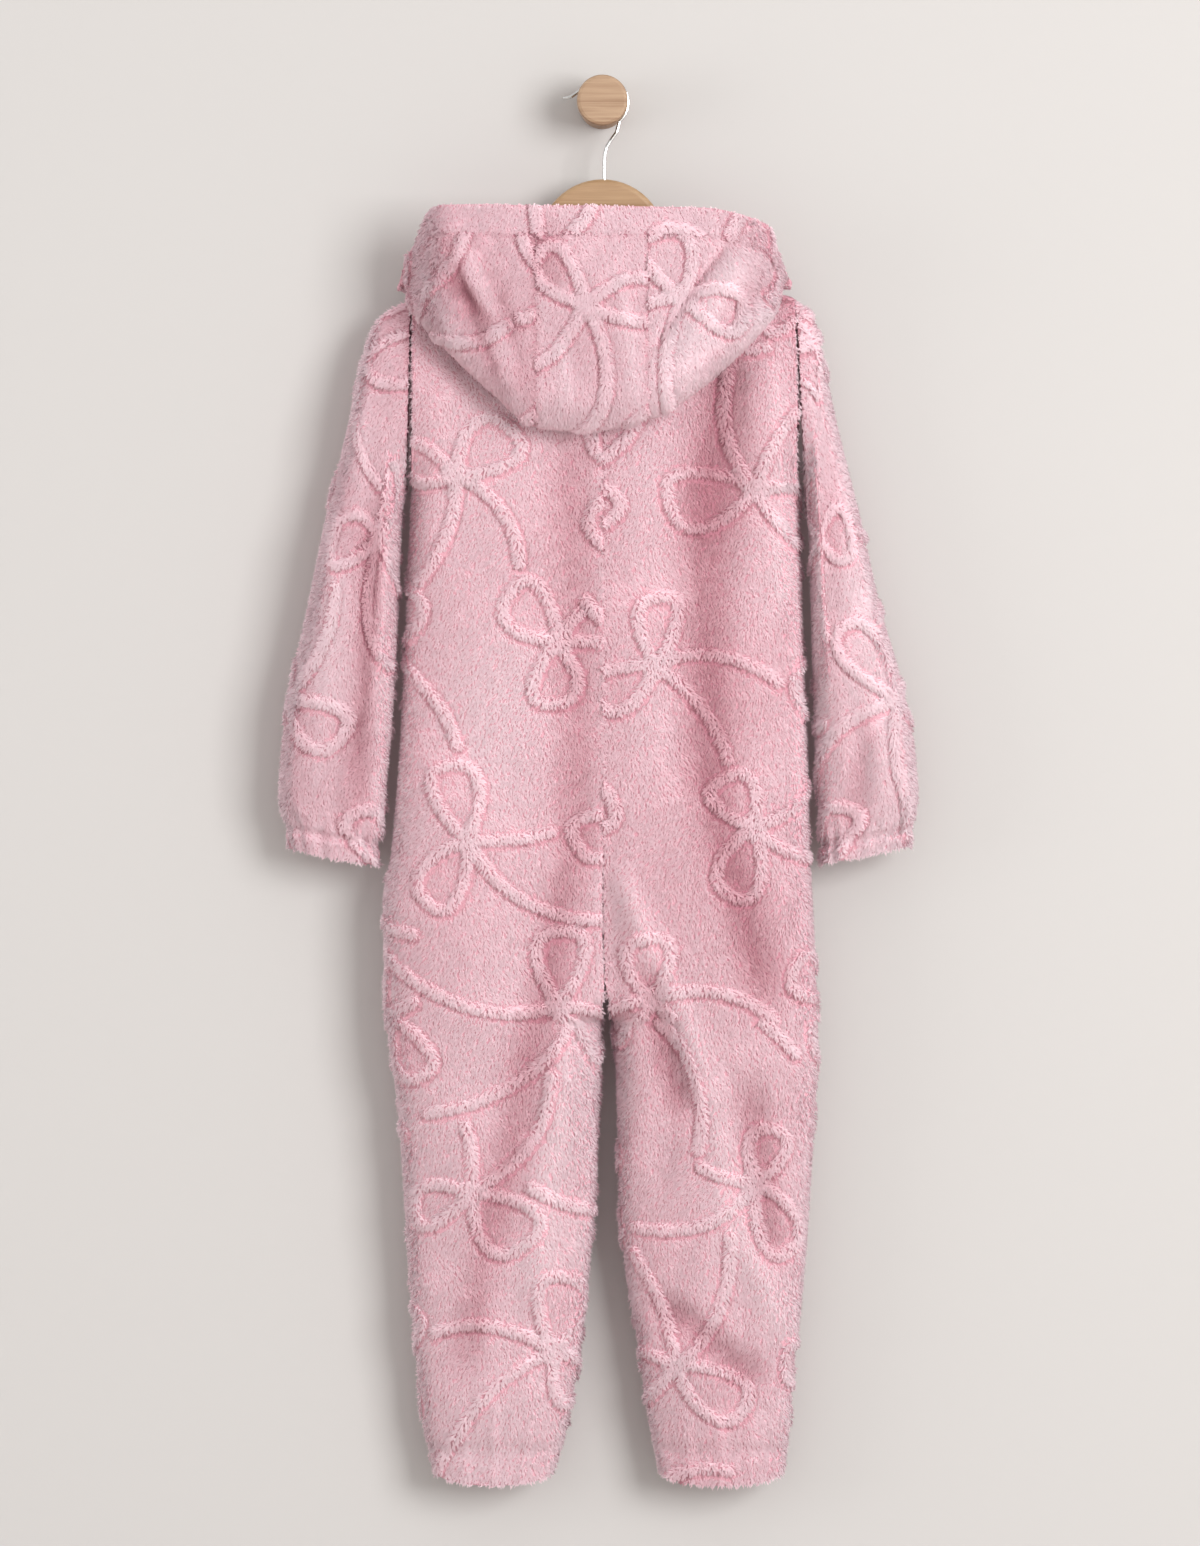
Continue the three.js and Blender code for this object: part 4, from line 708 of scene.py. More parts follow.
class Relief:
    """The pattern's height, and its painted light and shade, over one cut piece, on a grid of cloth coordinates u and
    v.
    """

    def __init__(self, u_range, v_range, seed):
        self.u0, self.v0 = u_range[0] - FIELD_REACH, v_range[0] - FIELD_REACH
        wide = int((u_range[1] - self.u0 + FIELD_REACH) / FIELD_STEP) + 2
        tall = int((v_range[1] - self.v0 + FIELD_REACH) / FIELD_STEP) + 2
        self.distance = np.full((tall, wide), 99.0)
        self.away = np.zeros((tall, wide, 2))
        self.side = np.zeros((tall, wide))
        self.inside = np.zeros((tall, wide))
        rng = np.random.default_rng(seed)
        bows = []
        for row in range(-1, int((v_range[1] - v_range[0]) / BOW_PITCH_V) + 2):
            for column in range(-1, int((u_range[1] - u_range[0]) / BOW_PITCH_U) + 2):
                centre = np.array([
                    u_range[0] + (column + 0.5 * (row % 2)) * BOW_PITCH_U + 40,
                    v_range[0] + row * BOW_PITCH_V + 50,
                ]) + rng.uniform(-BOW_JITTER, BOW_JITTER, 2)
                turned = rng.uniform(-math.pi, math.pi)
                lines = bow_lines(centre, turned, rng.uniform(0.92, 1.1), rng.random() < 0.5, rng)
                bows.append(lines)
        for first_loop, second_loop, _, _, knot in bows:
            for line in (first_loop, second_loop, knot):
                self.draw(line)
            self.fill(first_loop)
            self.fill(second_loop)
        for lines in bows:
            for tail in lines[2:4]:
                self.draw(self.clear_part(tail))
        self.finish()

    def clear_part(self, line):
        """The first part of a line, up to where it would come near another one."""
        place_v = ((line[:, 1] - self.v0) / FIELD_STEP).astype(int)
        place_u = ((line[:, 0] - self.u0) / FIELD_STEP).astype(int)
        tall, wide = self.distance.shape
        inside = (place_v >= 0) & (place_v < tall) & (place_u >= 0) & (place_u < wide)
        distance = np.where(inside, self.distance[place_v.clip(0, tall - 1), place_u.clip(0, wide - 1)], 99)
        near = distance < TAIL_CLEAR
        near[: int(TAIL_FREE_SHARE * len(line))] = False
        return line[: np.argmax(near)] if near.any() else line

    def window(self, low, high):
        u = np.clip(((np.array([low[0], high[0]]) - self.u0) / FIELD_STEP).astype(int), 0, self.distance.shape[1])
        v = np.clip(((np.array([low[1], high[1]]) - self.v0) / FIELD_STEP).astype(int), 0, self.distance.shape[0])
        place = (slice(v[0], v[1]), slice(u[0], u[1]))
        grid_u = self.u0 + FIELD_STEP * np.arange(u[0], u[1])[None, :]
        grid_v = self.v0 + FIELD_STEP * np.arange(v[0], v[1])[:, None]
        return place, grid_u, grid_v

    def draw(self, line):
        """Keeps the distance to the nearest line, and which way and on which side it lies."""
        for a, b in zip(line, line[1:]):
            place, u, v = self.window(np.minimum(a, b) - FIELD_REACH, np.maximum(a, b) + FIELD_REACH)
            if u.size == 0 or v.size == 0:
                continue
            step = b - a
            share = clamp(((u - a[0]) * step[0] + (v - a[1]) * step[1]) / (step @ step), 0, 1)
            du, dv = u - a[0] - share * step[0], v - a[1] - share * step[1]
            distance = np.hypot(du, dv)
            nearer = distance < self.distance[place]
            self.distance[place] = np.where(nearer, distance, self.distance[place])
            away = np.stack([du, dv], axis=-1) / np.maximum(distance, 0.3)[..., None]
            self.away[place] = np.where(nearer[..., None], away, self.away[place])
            side = np.sign(step[0] * dv - step[1] * du)
            self.side[place] = np.where(nearer, side, self.side[place])

    def fill(self, line):
        """Marks the inside of a loop."""
        place, u, v = self.window(line.min(0), line.max(0) + FIELD_STEP)
        if u.size == 0 or v.size == 0:
            return
        crossed = np.zeros(np.broadcast(u, v).shape, int)
        for a, b in zip(line, np.roll(line, -1, axis=0)):
            spans = (a[1] > v) != (b[1] > v)
            rise = b[1] - a[1] if b[1] != a[1] else 1e-9
            crossed += spans & (u < (b[0] - a[0]) * (v - a[1]) / rise + a[0])
        self.inside[place] = np.maximum(self.inside[place], crossed % 2)

    def finish(self):
        d = self.distance
        round_roll = np.sqrt(np.maximum(0, 1 - (d / ROLL_HALF) ** 2.6))
        # Each crevice is cut deeper, and painted darker, on the side below its line and on its side of lower u.
        deep_side = clamp(0.55 + 0.45 * (0.9 * self.away[..., 1] - 0.4 * self.away[..., 0]), 0, 1)
        crevice = deep_side * np.exp(-(((d - CREVICE_AT) / CREVICE_HALF) ** 2))
        within = self.inside * ease((d - ROLL_HALF) / 4)
        height = ROLL_HEIGHT * round_roll - CREVICE_DEPTH * crevice - 0.3 * within
        # Painted highlight along each roll's crest, painted shade in the crevices and painted shade inside the loops.
        crest = np.exp(-((d / 4.6) ** 2))
        shade = 0.13 * crest - 1.0 * crevice - 0.07 * within
        lean = 0.5 * ease(d / 3) * ease((CREVICE_AT + 1 - d) / 3)
        grow = (1 - 0.65 * crevice) * (1 - 0.15 * crest)
        upright = ease((CREVICE_AT - d) / 2)
        slope_v, slope_u = np.gradient(height, FIELD_STEP)
        self.fields = np.dstack([height, shade, lean, grow, slope_u, slope_v, crevice, upright, self.away])

    def at(self, u, v):
        """Height, painted light and shade, lean, growth, slopes along u and v, crevice, upright, and the way off the
        roll.
        """
        tall, wide = self.distance.shape
        fu = clamp((u - self.u0) / FIELD_STEP, 0, wide - 1.001)
        fv = clamp((v - self.v0) / FIELD_STEP, 0, tall - 1.001)
        iu, iv = fu.astype(int), fv.astype(int)
        a, b = (fu - iu)[..., None], (fv - iv)[..., None]
        f = self.fields
        top = f[iv, iu] * (1 - a) + f[iv, iu + 1] * a
        low = f[iv + 1, iu] * (1 - a) + f[iv + 1, iu + 1] * a
        return np.moveaxis(top * (1 - b) + low * b, -1, 0)


def slow_noise(u, v, size, seed):
    """A smooth uneven field from -1 to 1, made of waves about as long as the given size."""
    rng = np.random.default_rng(seed)
    total = np.zeros(np.broadcast(u, v).shape)
    for _ in range(6):
        way, phase, stretch = rng.uniform(0, 2 * np.pi), rng.uniform(0, 2 * np.pi), rng.uniform(0.7, 1.6)
        total += np.sin(2 * np.pi * (u * math.cos(way) + v * math.sin(way)) / (size * stretch) + phase)
    return total / 3.2


def grid_normals(points):
    """Unit normals of a grid of points, by its rows and columns."""
    down = np.gradient(points, axis=0)
    along = np.gradient(points, axis=1)
    return unit(np.cross(along, down))


def grid_lengths(points):
    """How far each point of a grid lies along its row and down its column."""
    along = np.linalg.norm(np.diff(points, axis=1), axis=-1)
    down = np.linalg.norm(np.diff(points, axis=0), axis=-1)
    u = np.concatenate([np.zeros((len(points), 1)), np.cumsum(along, axis=1)], axis=1)
    v = np.concatenate([np.zeros((1, points.shape[1])), np.cumsum(down, axis=0)], axis=0)
    return u, v


class Cloth:
    """One cut piece of the garment: its outer surface, its cloth coordinates and its pattern."""

    def __init__(self, node, points, normals, u, v, seed, closed=False):
        self.node = node
        self.points = points
        self.normals = normals
        self.u = u
        self.v = v
        self.closed = closed
        self.grow = np.ones(u.shape)
        self.mess = np.zeros(u.shape)
        self.stand = ease((np.abs(normals[..., 0]) - 0.35) / 0.5)
        # Each piece starts from its painted light or shade.
        self.shade = np.full(u.shape, PIECE_PAINTED_LIGHT.get(node, 0.0))
        self.seed = seed
        self.relief = Relief((u.min(), u.max()), (v.min(), v.max()), seed)
        self.along = unit(np.gradient(points, axis=1))
        self.down = unit(np.gradient(points, axis=0))

    def seam(self, distance, depth=1.0, wide=4.0):
        """Shorter and darker pile along a seam. distance is each point's distance from it."""
        near = np.exp(-((distance / wide) ** 2))
        self.grow *= 1 - 0.4 * depth * near
        self.mess = np.maximum(self.mess, 0.5 * near)
        self.shade -= 0.16 * depth * np.exp(-((distance / (wide * 0.6)) ** 2))

    def fluff_with_painted_light(self, here, most):
        """Longer pile that stands off the sides and fills narrow gaps, painted paler there as painted light against
        the shade that falls on them. here is its share at each point.
        """
        self.grow *= 1 + (most - 1) * here
        self.shade += SIDE_PAINTED_LIGHT * most * here

    def ground(self):
        """The knit ground's outer face, with the pattern raised on it."""
        height = self.relief.at(self.u, self.v)[0]
        lower = 1.2 * (1 - self.grow)
        return self.points + self.normals * (0.55 * height - GROUND_DEPTH - lower)[..., None]

    def inner(self):
        rows = slice(None, None, INNER_EVERY)
        return (self.points - self.normals * INNER_DEPTH)[rows, rows]


def mesh_object(name, points, quads, triangles, materials, slots, attributes=None, normals=None):
    """A mesh from arrays. slots gives each face's material, quads first, then triangles."""
    mesh = bpy.data.meshes.new(name)
    corners = np.concatenate([np.ravel(quads), np.ravel(triangles)]).astype(np.int32)
    starts = np.concatenate([4 * np.arange(len(quads)), 4 * len(quads) + 3 * np.arange(len(triangles))])
    mesh.vertices.add(len(points))
    mesh.vertices.foreach_set("co", (points * MM).astype(np.float32).ravel())
    mesh.loops.add(len(corners))
    mesh.loops.foreach_set("vertex_index", corners)
    mesh.polygons.add(len(starts))
    mesh.polygons.foreach_set("loop_start", starts.astype(np.int32))
    mesh.polygons.foreach_set("material_index", np.asarray(slots, np.int32))
    mesh.update(calc_edges=True)
    mesh.shade_smooth()
    for label, values in (attributes or {}).items():
        mesh.attributes.new(label, "FLOAT", "POINT").data.foreach_set("value", values.astype(np.float32))
    if normals is not None:
        own = mesh.attributes.new("custom_normal", "FLOAT_VECTOR", "POINT")
        own.data.foreach_set("vector", normals.astype(np.float32).ravel())
    mesh.validate()
    for material in materials:
        mesh.materials.append(material)
    made = bpy.data.objects.new(name, mesh)
    bpy.context.scene.collection.objects.link(made)
    return made


def grid_quads(rows, columns, start=0, around=None):
    """Corner numbers of a grid's faces. around is the number of columns of a grid that closes on itself."""
    i, j = np.meshgrid(np.arange(rows - 1), np.arange((around or columns - 1)), indexing="ij")
    wide = around or columns
    k = (j + 1) % wide
    return np.stack([i * wide + j, (i + 1) * wide + j, (i + 1) * wide + k, i * wide + k], -1).reshape(-1, 4) + start


def rim_faces(outer_line, inner_line):
    """Triangles between a line of outer corners and one of inner corners with half as many steps."""
    faces = []
    for k in range(len(inner_line) - 1):
        o0, o1, o2 = outer_line[2 * k], outer_line[2 * k + 1], outer_line[2 * k + 2]
        i0, i1 = inner_line[k], inner_line[k + 1]
        faces += [(o0, o1, i0), (o1, i1, i0), (o1, o2, i1)]
    return faces


def cloth_object(cloth, materials):
    """A closed thin wall: the ground with its pattern outside, and a plain knit face inside."""
    outer, inner = cloth.ground(), cloth.inner()
    rows, columns = outer.shape[:2]
    inner_rows, inner_columns = inner.shape[:2]
    around = columns - 1 if cloth.closed else None
    inner_around = inner_columns - 1 if cloth.closed else None
    if cloth.closed:
        outer, inner = outer[:, :-1], inner[:, :-1]
    start = outer.shape[0] * outer.shape[1]
    outside = grid_quads(rows, columns, 0, around)
    inside = grid_quads(inner_rows, inner_columns, start, inner_around)[:, ::-1]

    def at(i, j):
        return i * outer.shape[1] + j % outer.shape[1]

    def in_at(i, j):
        return start + i * inner.shape[1] + j % inner.shape[1]

    steps, inner_steps = np.arange(columns), np.arange(inner_columns)
    rims = rim_faces([at(0, j) for j in steps], [in_at(0, j) for j in inner_steps])
    low = rim_faces([at(rows - 1, j) for j in steps], [in_at(inner_rows - 1, j) for j in inner_steps])
    rims += [face[::-1] for face in low]
    if not cloth.closed:
        steps, inner_steps = np.arange(rows), np.arange(inner_rows)
        first = rim_faces([at(i, 0) for i in steps], [in_at(i, 0) for i in inner_steps])
        rims += [face[::-1] for face in first]
        rims += rim_faces(
            [at(i, columns - 1) for i in steps],
            [in_at(i, inner_columns - 1) for i in inner_steps],
        )
    quads = np.concatenate([outside, inside])
    rims = np.array(rims)
    points = np.concatenate([outer.reshape(-1, 3), inner.reshape(-1, 3)])
    slots = [0] * len(outside) + [1] * len(inside) + [0] * len(rims)
    # The ground takes the piece's tone, with its painted light and shade.
    shade = np.zeros(len(points))
    shade[:start] = (cloth.shade[:, :-1] if cloth.closed else cloth.shade).ravel()
    corner = points[outside[:, 0]]
    facing = np.cross(points[outside[:, 1]] - corner, points[outside[:, 3]] - corner)
    if np.sum(facing * cloth.normals[:-1, :-1].reshape(-1, 3)) < 0:
        quads, rims = quads[:, ::-1], rims[:, ::-1]
    return mesh_object("cloth_" + cloth.node, points, quads, rims, materials, slots, {"tone_and_painted_light": shade})


# Pile: each clump of strands is a jittered spot of the ground, and each strand is one long triangle.
STRANDS = 4
STRAND_LONG = 4.7
STRAND_HALF = 0.68
CLUMP_SPREAD = 1.25
TIP_SPREAD = 0.75
STRAND_RISE = math.radians(34)
ROLL_RISE_ANGLE = math.radians(32)
SIDE_RISE_ANGLE = math.radians(46)
# How much paler the side pile is painted, as painted light against the shade at the sides.
SIDE_PAINTED_LIGHT = 0.2
SIDE_FLUFF = 1.12
GAP_FLUFF = 1.55
NORMAL_SPREAD = 0.26
COMB_SPREAD = 0.28
# Steps that spread points evenly over a square.
EVEN_A = 0.7548776662
EVEN_B = 0.5698402910
# Tone along each strand: darker at the root as painted shade deep in the pile, paler at the tip, around a mean tone.
ROOT_SHADE = 0.16
TIP_SHADE = 0.1
MEAN_SHADE = 0.6
SLOPE_SHARE = 0.7
TWIST = math.radians(8)
SIDE_TWIST = math.radians(90)


def grid_pile(name, cloth, clumps_per_mm2, material, seed):
    """Strands all over a cut piece, more or fewer by a number for the whole piece or for each grid point."""
    rng = np.random.default_rng(seed)
    p = cloth.points - cloth.normals * (GROUND_DEPTH + 0.4)
    area = np.linalg.norm(np.cross(p[1:, 1:] - p[:-1, :-1], p[1:, :-1] - p[:-1, 1:]), axis=-1) / 2
    wanted = area * (np.asarray(clumps_per_mm2) * np.ones(cloth.u.shape))[:-1, :-1]
    counts = np.floor(wanted + rng.random(area.shape)).astype(int).ravel()
    cells = np.repeat(np.arange(area.size), counts)
    row, column = np.divmod(cells, area.shape[1])
    turn = np.arange(len(cells)) - np.repeat(np.cumsum(counts) - counts, counts)
    a = (rng.random(area.size)[cells] + EVEN_A * turn) % 1
    b = (rng.random(area.size)[cells] + EVEN_B * turn) % 1

    def sample(values):
        a_, b_ = (a, b) if values.ndim == 2 else (a[:, None], b[:, None])
        top = values[row, column] * (1 - a_) + values[row, column + 1] * a_
        low = values[row + 1, column] * (1 - a_) + values[row + 1, column + 1] * a_
        return top * (1 - b_) + low * b_

    u, v = sample(cloth.u), sample(cloth.v)
    height, shade, lean, growth, slope_u, slope_v, _, upright, away_u, away_v = cloth.relief.at(u, v)
    normal, along, down = (unit(sample(x)) for x in (cloth.normals, cloth.along, cloth.down))
    root = sample(p) + normal * height[:, None]
    smooth = normal
    normal = unit(normal - slope_u[:, None] * along - slope_v[:, None] * down)
    lit = unit(mix(smooth, normal, SLOPE_SHARE))
    grow = sample(cloth.grow) * growth
    comb = 0.42 * slow_noise(u, v, 90, cloth.seed) + 0.25 * slow_noise(u, v, 22, cloth.seed + 1)
    comb += rng.normal(0, 1, len(u)) * (COMB_SPREAD + sample(cloth.mess))
    way_u = np.sin(comb) * (1 - 0.5 * lean) + lean * away_u
    way_v = np.cos(comb) * (1 - 0.5 * lean) + lean * away_v
    way_long = np.maximum(np.hypot(way_u, way_v), 1e-6)
    way_u, way_v = way_u / way_long, way_v / way_long
    way = unit(way_u[:, None] * along + way_v[:, None] * down)
    for share in (0.45, 0.7, 0.95):
        reach = share * STRAND_LONG
        crossed = cloth.relief.at(u + reach * way_u, v + reach * way_v)[6]
        grow = np.minimum(grow, 1 - (1 - share + 0.1) * clamp(1.6 * crossed, 0, 1))
    # Each clump's tone: the piece's and the pattern's painted light and shade, with slow and fine random tone.
    tone_and_painted_light = sample(cloth.shade) + shade + 0.07 * slow_noise(u, v, 150, cloth.seed + 2)
    tone_and_painted_light += 0.04 * slow_noise(u, v, 14, cloth.seed + 3) + rng.normal(0, 0.03, len(u))
    rise = mix(STRAND_RISE, ROLL_RISE_ANGLE, upright)
    stand = sample(cloth.stand)
    rise = mix(rise, SIDE_RISE_ANGLE, stand)
    twist = mix(TWIST, SIDE_TWIST, stand)
    return strand_object(name, root, normal, lit, way, grow, rise, twist, tone_and_painted_light, material, rng)


def strand_object(name, root, normal, lit, way, grow, rise, twist, tone_and_painted_light, material, rng):
    """The strands of clumps that stand on roots and lean the given way, as one joined mesh lit by soft normals."""
    count = len(root)
    cross = np.cross(way, normal)
    size = (count, STRANDS)
    around = rng.uniform(0, 2 * np.pi, size)
    out = np.sqrt(rng.random(size)) * CLUMP_SPREAD
    long = STRAND_LONG * grow[:, None] * rng.uniform(0.7, 1.15, size)
    rise = rise[:, None] + rng.normal(0, 0.16, size)
    root = root[:, None] + cross[:, None] * (out * np.cos(around))[..., None]
    root = root + way[:, None] * (1.6 * out * np.sin(around))[..., None]
    drawn_in = -(1 - TIP_SPREAD / CLUMP_SPREAD) * out * np.cos(around)
    reach = way[:, None] * (long * np.cos(rise))[..., None]
    reach = reach + normal[:, None] * (long * np.sin(rise))[..., None]
    reach = reach + cross[:, None] * (drawn_in + rng.normal(0, 0.5, size))[..., None]
    side = unit(np.cross(reach, normal[:, None]))
    turned = (twist[:, None] * rng.uniform(-1, 1, size))[..., None]
    side = side * np.cos(turned) + unit(np.cross(reach, side)) * np.sin(turned)
    half = STRAND_HALF * rng.uniform(0.75, 1.25, size)[..., None]
    left, right, tip = root - side * half, root + side * half, root + reach
    bent = lit[:, None] + 0.2 * way[:, None] + rng.normal(0, 0.08, (*size, 3))
    corners = np.stack([left, right, tip], axis=2).reshape(-1, 3)
    normals = np.stack([bent - NORMAL_SPREAD * side, bent + NORMAL_SPREAD * side, bent], axis=2)
    strand_tone_and_painted_light = tone_and_painted_light[:, None] + rng.normal(0, 0.025, size)
    # Roots get painted shade, tips a paler tone.
    root_tone_with_painted_shade = MEAN_SHADE + strand_tone_and_painted_light - ROOT_SHADE
    tones_and_painted_light = np.stack([root_tone_with_painted_shade, root_tone_with_painted_shade, MEAN_SHADE + strand_tone_and_painted_light + TIP_SHADE], axis=2)
    faces = np.arange(len(corners)).reshape(-1, 3)
    return mesh_object(
        name, corners, np.zeros((0, 4), int), faces, [material], np.zeros(len(faces)),
        {"tone_and_painted_light": tones_and_painted_light.ravel()}, unit(normals.reshape(-1, 3)),
    )


# The cut pieces.
BACK_STEP = 5.0
FRONT_STEP = 8.0
SEAM_WIDE = 4.0
HEM_GROW = 0.8
HOOD_CHORD = 0.93


def odd(grid):
    """The grid with one more row near its end if it has an even number of them."""
    if len(grid) % 2:
        return grid
    return np.concatenate([grid[:-1], (grid[-2:-1] + grid[-1:]) / 2, grid[-1:]])


def body_cloth(side, face, step, seed):
    points = odd(panel_grid(side, face, step))
    if points.shape[1] % 2 == 0:
        points = np.swapaxes(odd(np.swapaxes(points, 0, 1)), 0, 1)
    normals = grid_normals(points)
    normals *= np.sign(np.sum(normals[..., 1])) * (-1 if face == "back" else 1)
    u, down = grid_lengths(points)
    drop = -points[..., 2]
    folds = np.zeros(u.shape)
    if face == "back":
        folds = line_height(BACK_DRAPE, points[..., 0], drop, DRAPE_FADE) * ease((-normals[..., 1] - 0.15) / 0.4)
        folds *= ease(u / 10) * ease((u[:, -1:] - u) / 10)
        points = points + normals * folds[..., None]
        normals = grid_normals(points) * np.sign(np.sum(grid_normals(points) * normals))
    cloth = Cloth(f"{face}_{side}", points, normals, u, drop, seed)
    # Fold hollows get painted shade and fold ridges get painted light; the legs are made paler below the crotch.
    cloth.shade += FOLD_PAINTED_SHADING * folds + LEG_TONE * ease((drop - 780) / 120)
    cloth.seam(u, 0.35)
    cloth.seam(u[:, -1:] - u, 0.5)
    cloth.seam(down, 0.7)
    if face == "front":
        beside_zip = ease((ZIP_END_DROP - drop) / 10)
        from_slider = np.hypot(u, (drop - SLIDER_DROP) / 1.6)
        cloth.grow *= 1 - 0.65 * beside_zip * ease((6 - u) / 5)
        cloth.grow *= 1 - 0.6 * ease((SLIDER_CLEAR - from_slider) / 6)
    from_hem = down[-1:] - down
    cloth.seam(from_hem - (HEM_DROP - HEM_STITCH_DROP), 1.0, 3.0)
    cloth.grow *= mix(HEM_GROW, 1, ease(from_hem / 14))
    sign = -1 if side == "left" else 1
    # The sides, the gap beside the sleeve and the legs' inner sides get longer pile, painted paler as painted light
    # against their shade.
    outward = ease((sign * normals[..., 0] - 0.4) / 0.4)
    beside_sleeve = ease((drop - 300) / 30) * ease((620 - drop) / 30)
    cloth.fluff_with_painted_light(outward * (1 - beside_sleeve), SIDE_FLUFF)
    cloth.fluff_with_painted_light(outward * beside_sleeve, GAP_FLUFF)
    cloth.fluff_with_painted_light(ease((-sign * normals[..., 0] - 0.4) / 0.4) * ease((drop - 760) / 20), SIDE_FLUFF)
    cloth.size = (u.max(), down.max())
    return cloth


def sleeve_cloth(side, step, seed):
    points = odd(sleeve_grid(side, step))
    points = np.swapaxes(odd(np.swapaxes(points, 0, 1)), 0, 1)
    normals = grid_normals(points)
    out = points - points.mean(axis=1, keepdims=True)
    normals *= np.sign(np.sum(normals * out))
    u, down = grid_lengths(points)
    middle = u[:, u.shape[1] // 2 : u.shape[1] // 2 + 1]
    folds = line_height(SLEEVE_DRAPE, points[..., 0], -points[..., 2]) * ease((-normals[..., 1] - 0.1) / 0.4)
    folds *= ease((down - 12) / 20)
    points = points + normals * folds[..., None]
    normals = grid_normals(points) * np.sign(np.sum(grid_normals(points) * normals))
    cloth = Cloth(f"sleeve_{side}", points, normals, u - middle, -points[..., 2], seed, closed=True)
    # Fold hollows get painted shade and fold ridges get painted light.
    cloth.shade += FOLD_PAINTED_SHADING * folds
    cloth.seam(down, 1.0)
    from_cuff = down[-1:] - down
    cloth.seam(from_cuff - 20, 1.0, 3.0)
    cloth.grow *= mix(HEM_GROW, 1, ease(from_cuff / 14))
    cloth.shade += CUFF_TONE * ease((60 - from_cuff) / 50)
    sign = -1 if side == "left" else 1
    # The sleeve's sides get longer pile, painted paler as painted light against their shade.
    cloth.fluff_with_painted_light(ease((-sign * normals[..., 0] - 0.3) / 0.4), GAP_FLUFF)
    cloth.fluff_with_painted_light(ease((sign * normals[..., 0] - 0.4) / 0.4), SIDE_FLUFF)
    cloth.size = (u.max(), down.max())
    return cloth


def hood_cloth(node, turns, places, seed):
    turns = odd(np.asarray(turns, float))
    points, normals, from_rim = hood_grid(turns, places, node != "hood_band")
    points, normals, from_rim = points[::-1], normals[::-1], from_rim[::-1]
    folds = line_height(HOOD_FOLDS, points[..., 0], -points[..., 2]) * ease((-normals[..., 1] - 0.2) / 0.4)
    points = points + normals * folds[..., None]
    u, down = grid_lengths(points)
    widest = u[np.argmax(u[:, -1])]
    cloth = Cloth(node, points, normals, widest + 0 * u, from_rim, seed)
    # The hood's creases get painted shade in their hollows and painted light on their ridges.
    cloth.shade += FOLD_PAINTED_SHADING * folds
    if node != "hood_band":
        cloth.seam(u, 1.0)
        cloth.seam(u[:, -1:] - u, 1.0)
    cloth.seam(from_rim - HOOD_BAND_WIDTH, 1.0, 3.0)
    cloth.size = (HOOD_CHORD * u[0, -1], HOOD_CHORD * down.max())
    return cloth


PLACES = np.linspace(0, 1, 73)
BAND_PLACES = np.linspace(1, 2, 7)
STRIP = refined([-STRIP_TURN, 0, STRIP_TURN], 0.0125)
SIDE = refined(SIDE_TURNS, 0.011)
ROUND = np.concatenate([-SIDE[::-1], STRIP[1:-1], SIDE])


# Materials.
def srgb(r, g, b):
    """A linear colour from screen values of 0 to 255."""
    parts = [((c / 255 + 0.055) / 1.055) ** 2.4 if c > 10.3 else c / 255 / 12.92 for c in (r, g, b)]
    return (*parts, 1)


def new_material(name):
    material = bpy.data.materials.new(name)
    material.use_nodes = True
    nodes, links = material.node_tree.nodes, material.node_tree.links
    return material, nodes, links, nodes["Principled BSDF"]


def node(nodes, kind, **values):
    made = nodes.new(kind)
    for name, value in values.items():
        if name in made.inputs:
            made.inputs[name].default_value = value
        else:
            setattr(made, name, value)
    return made


def ramp(nodes, *stops):
    made = nodes.new("ShaderNodeValToRGB")
    elements = made.color_ramp.elements
    for place, colour in stops[2:]:
        elements.new(place)
    for element, (place, colour) in zip(elements, stops):
        element.position = place
        element.color = colour
    return made


# Pile colours: the dark end is reached by painted shade at roots, crevices and fold hollows, the pale end by painted
# light on crests and ridges.
PILE_DEEP = srgb(206, 146, 159)
PILE_LOW = srgb(236, 193, 203)
PILE_MIDDLE = srgb(249, 220, 228)
PILE_TIP = srgb(253, 233, 239)


def pile_material(name, see_through):
    """Soft polyester strands, painted dark pink towards the root as painted shade deep in the pile and pale at the
    tip, and a little light passes through them.
    """
    material, nodes, links, shader = new_material(name)
    tone_and_painted_light = node(nodes, "ShaderNodeAttribute", attribute_name="tone_and_painted_light")
    colours = ramp(nodes, (0, PILE_DEEP), (0.28, PILE_LOW), (0.55, PILE_MIDDLE), (0.85, PILE_TIP))
    links.new(tone_and_painted_light.outputs["Fac"], colours.inputs["Fac"])
    links.new(colours.outputs["Color"], shader.inputs["Base Color"])
    shader.inputs["Roughness"].default_value = 0.8
    shader.inputs["Specular IOR Level"].default_value = 0.25
    shader.inputs["Sheen Weight"].default_value = 0.08
    shader.inputs["Sheen Roughness"].default_value = 0.5
    shader.inputs["Sheen Tint"].default_value = srgb(255, 218, 228)
    through_it = node(nodes, "ShaderNodeBsdfTranslucent")
    links.new(colours.outputs["Color"], through_it.inputs["Color"])
    both = node(nodes, "ShaderNodeMixShader")
    both.inputs["Fac"].default_value = see_through
    links.new(shader.outputs["BSDF"], both.inputs[1])
    links.new(through_it.outputs["BSDF"], both.inputs[2])
    links.new(both.outputs["Shader"], nodes["Material Output"].inputs["Surface"])
    return material


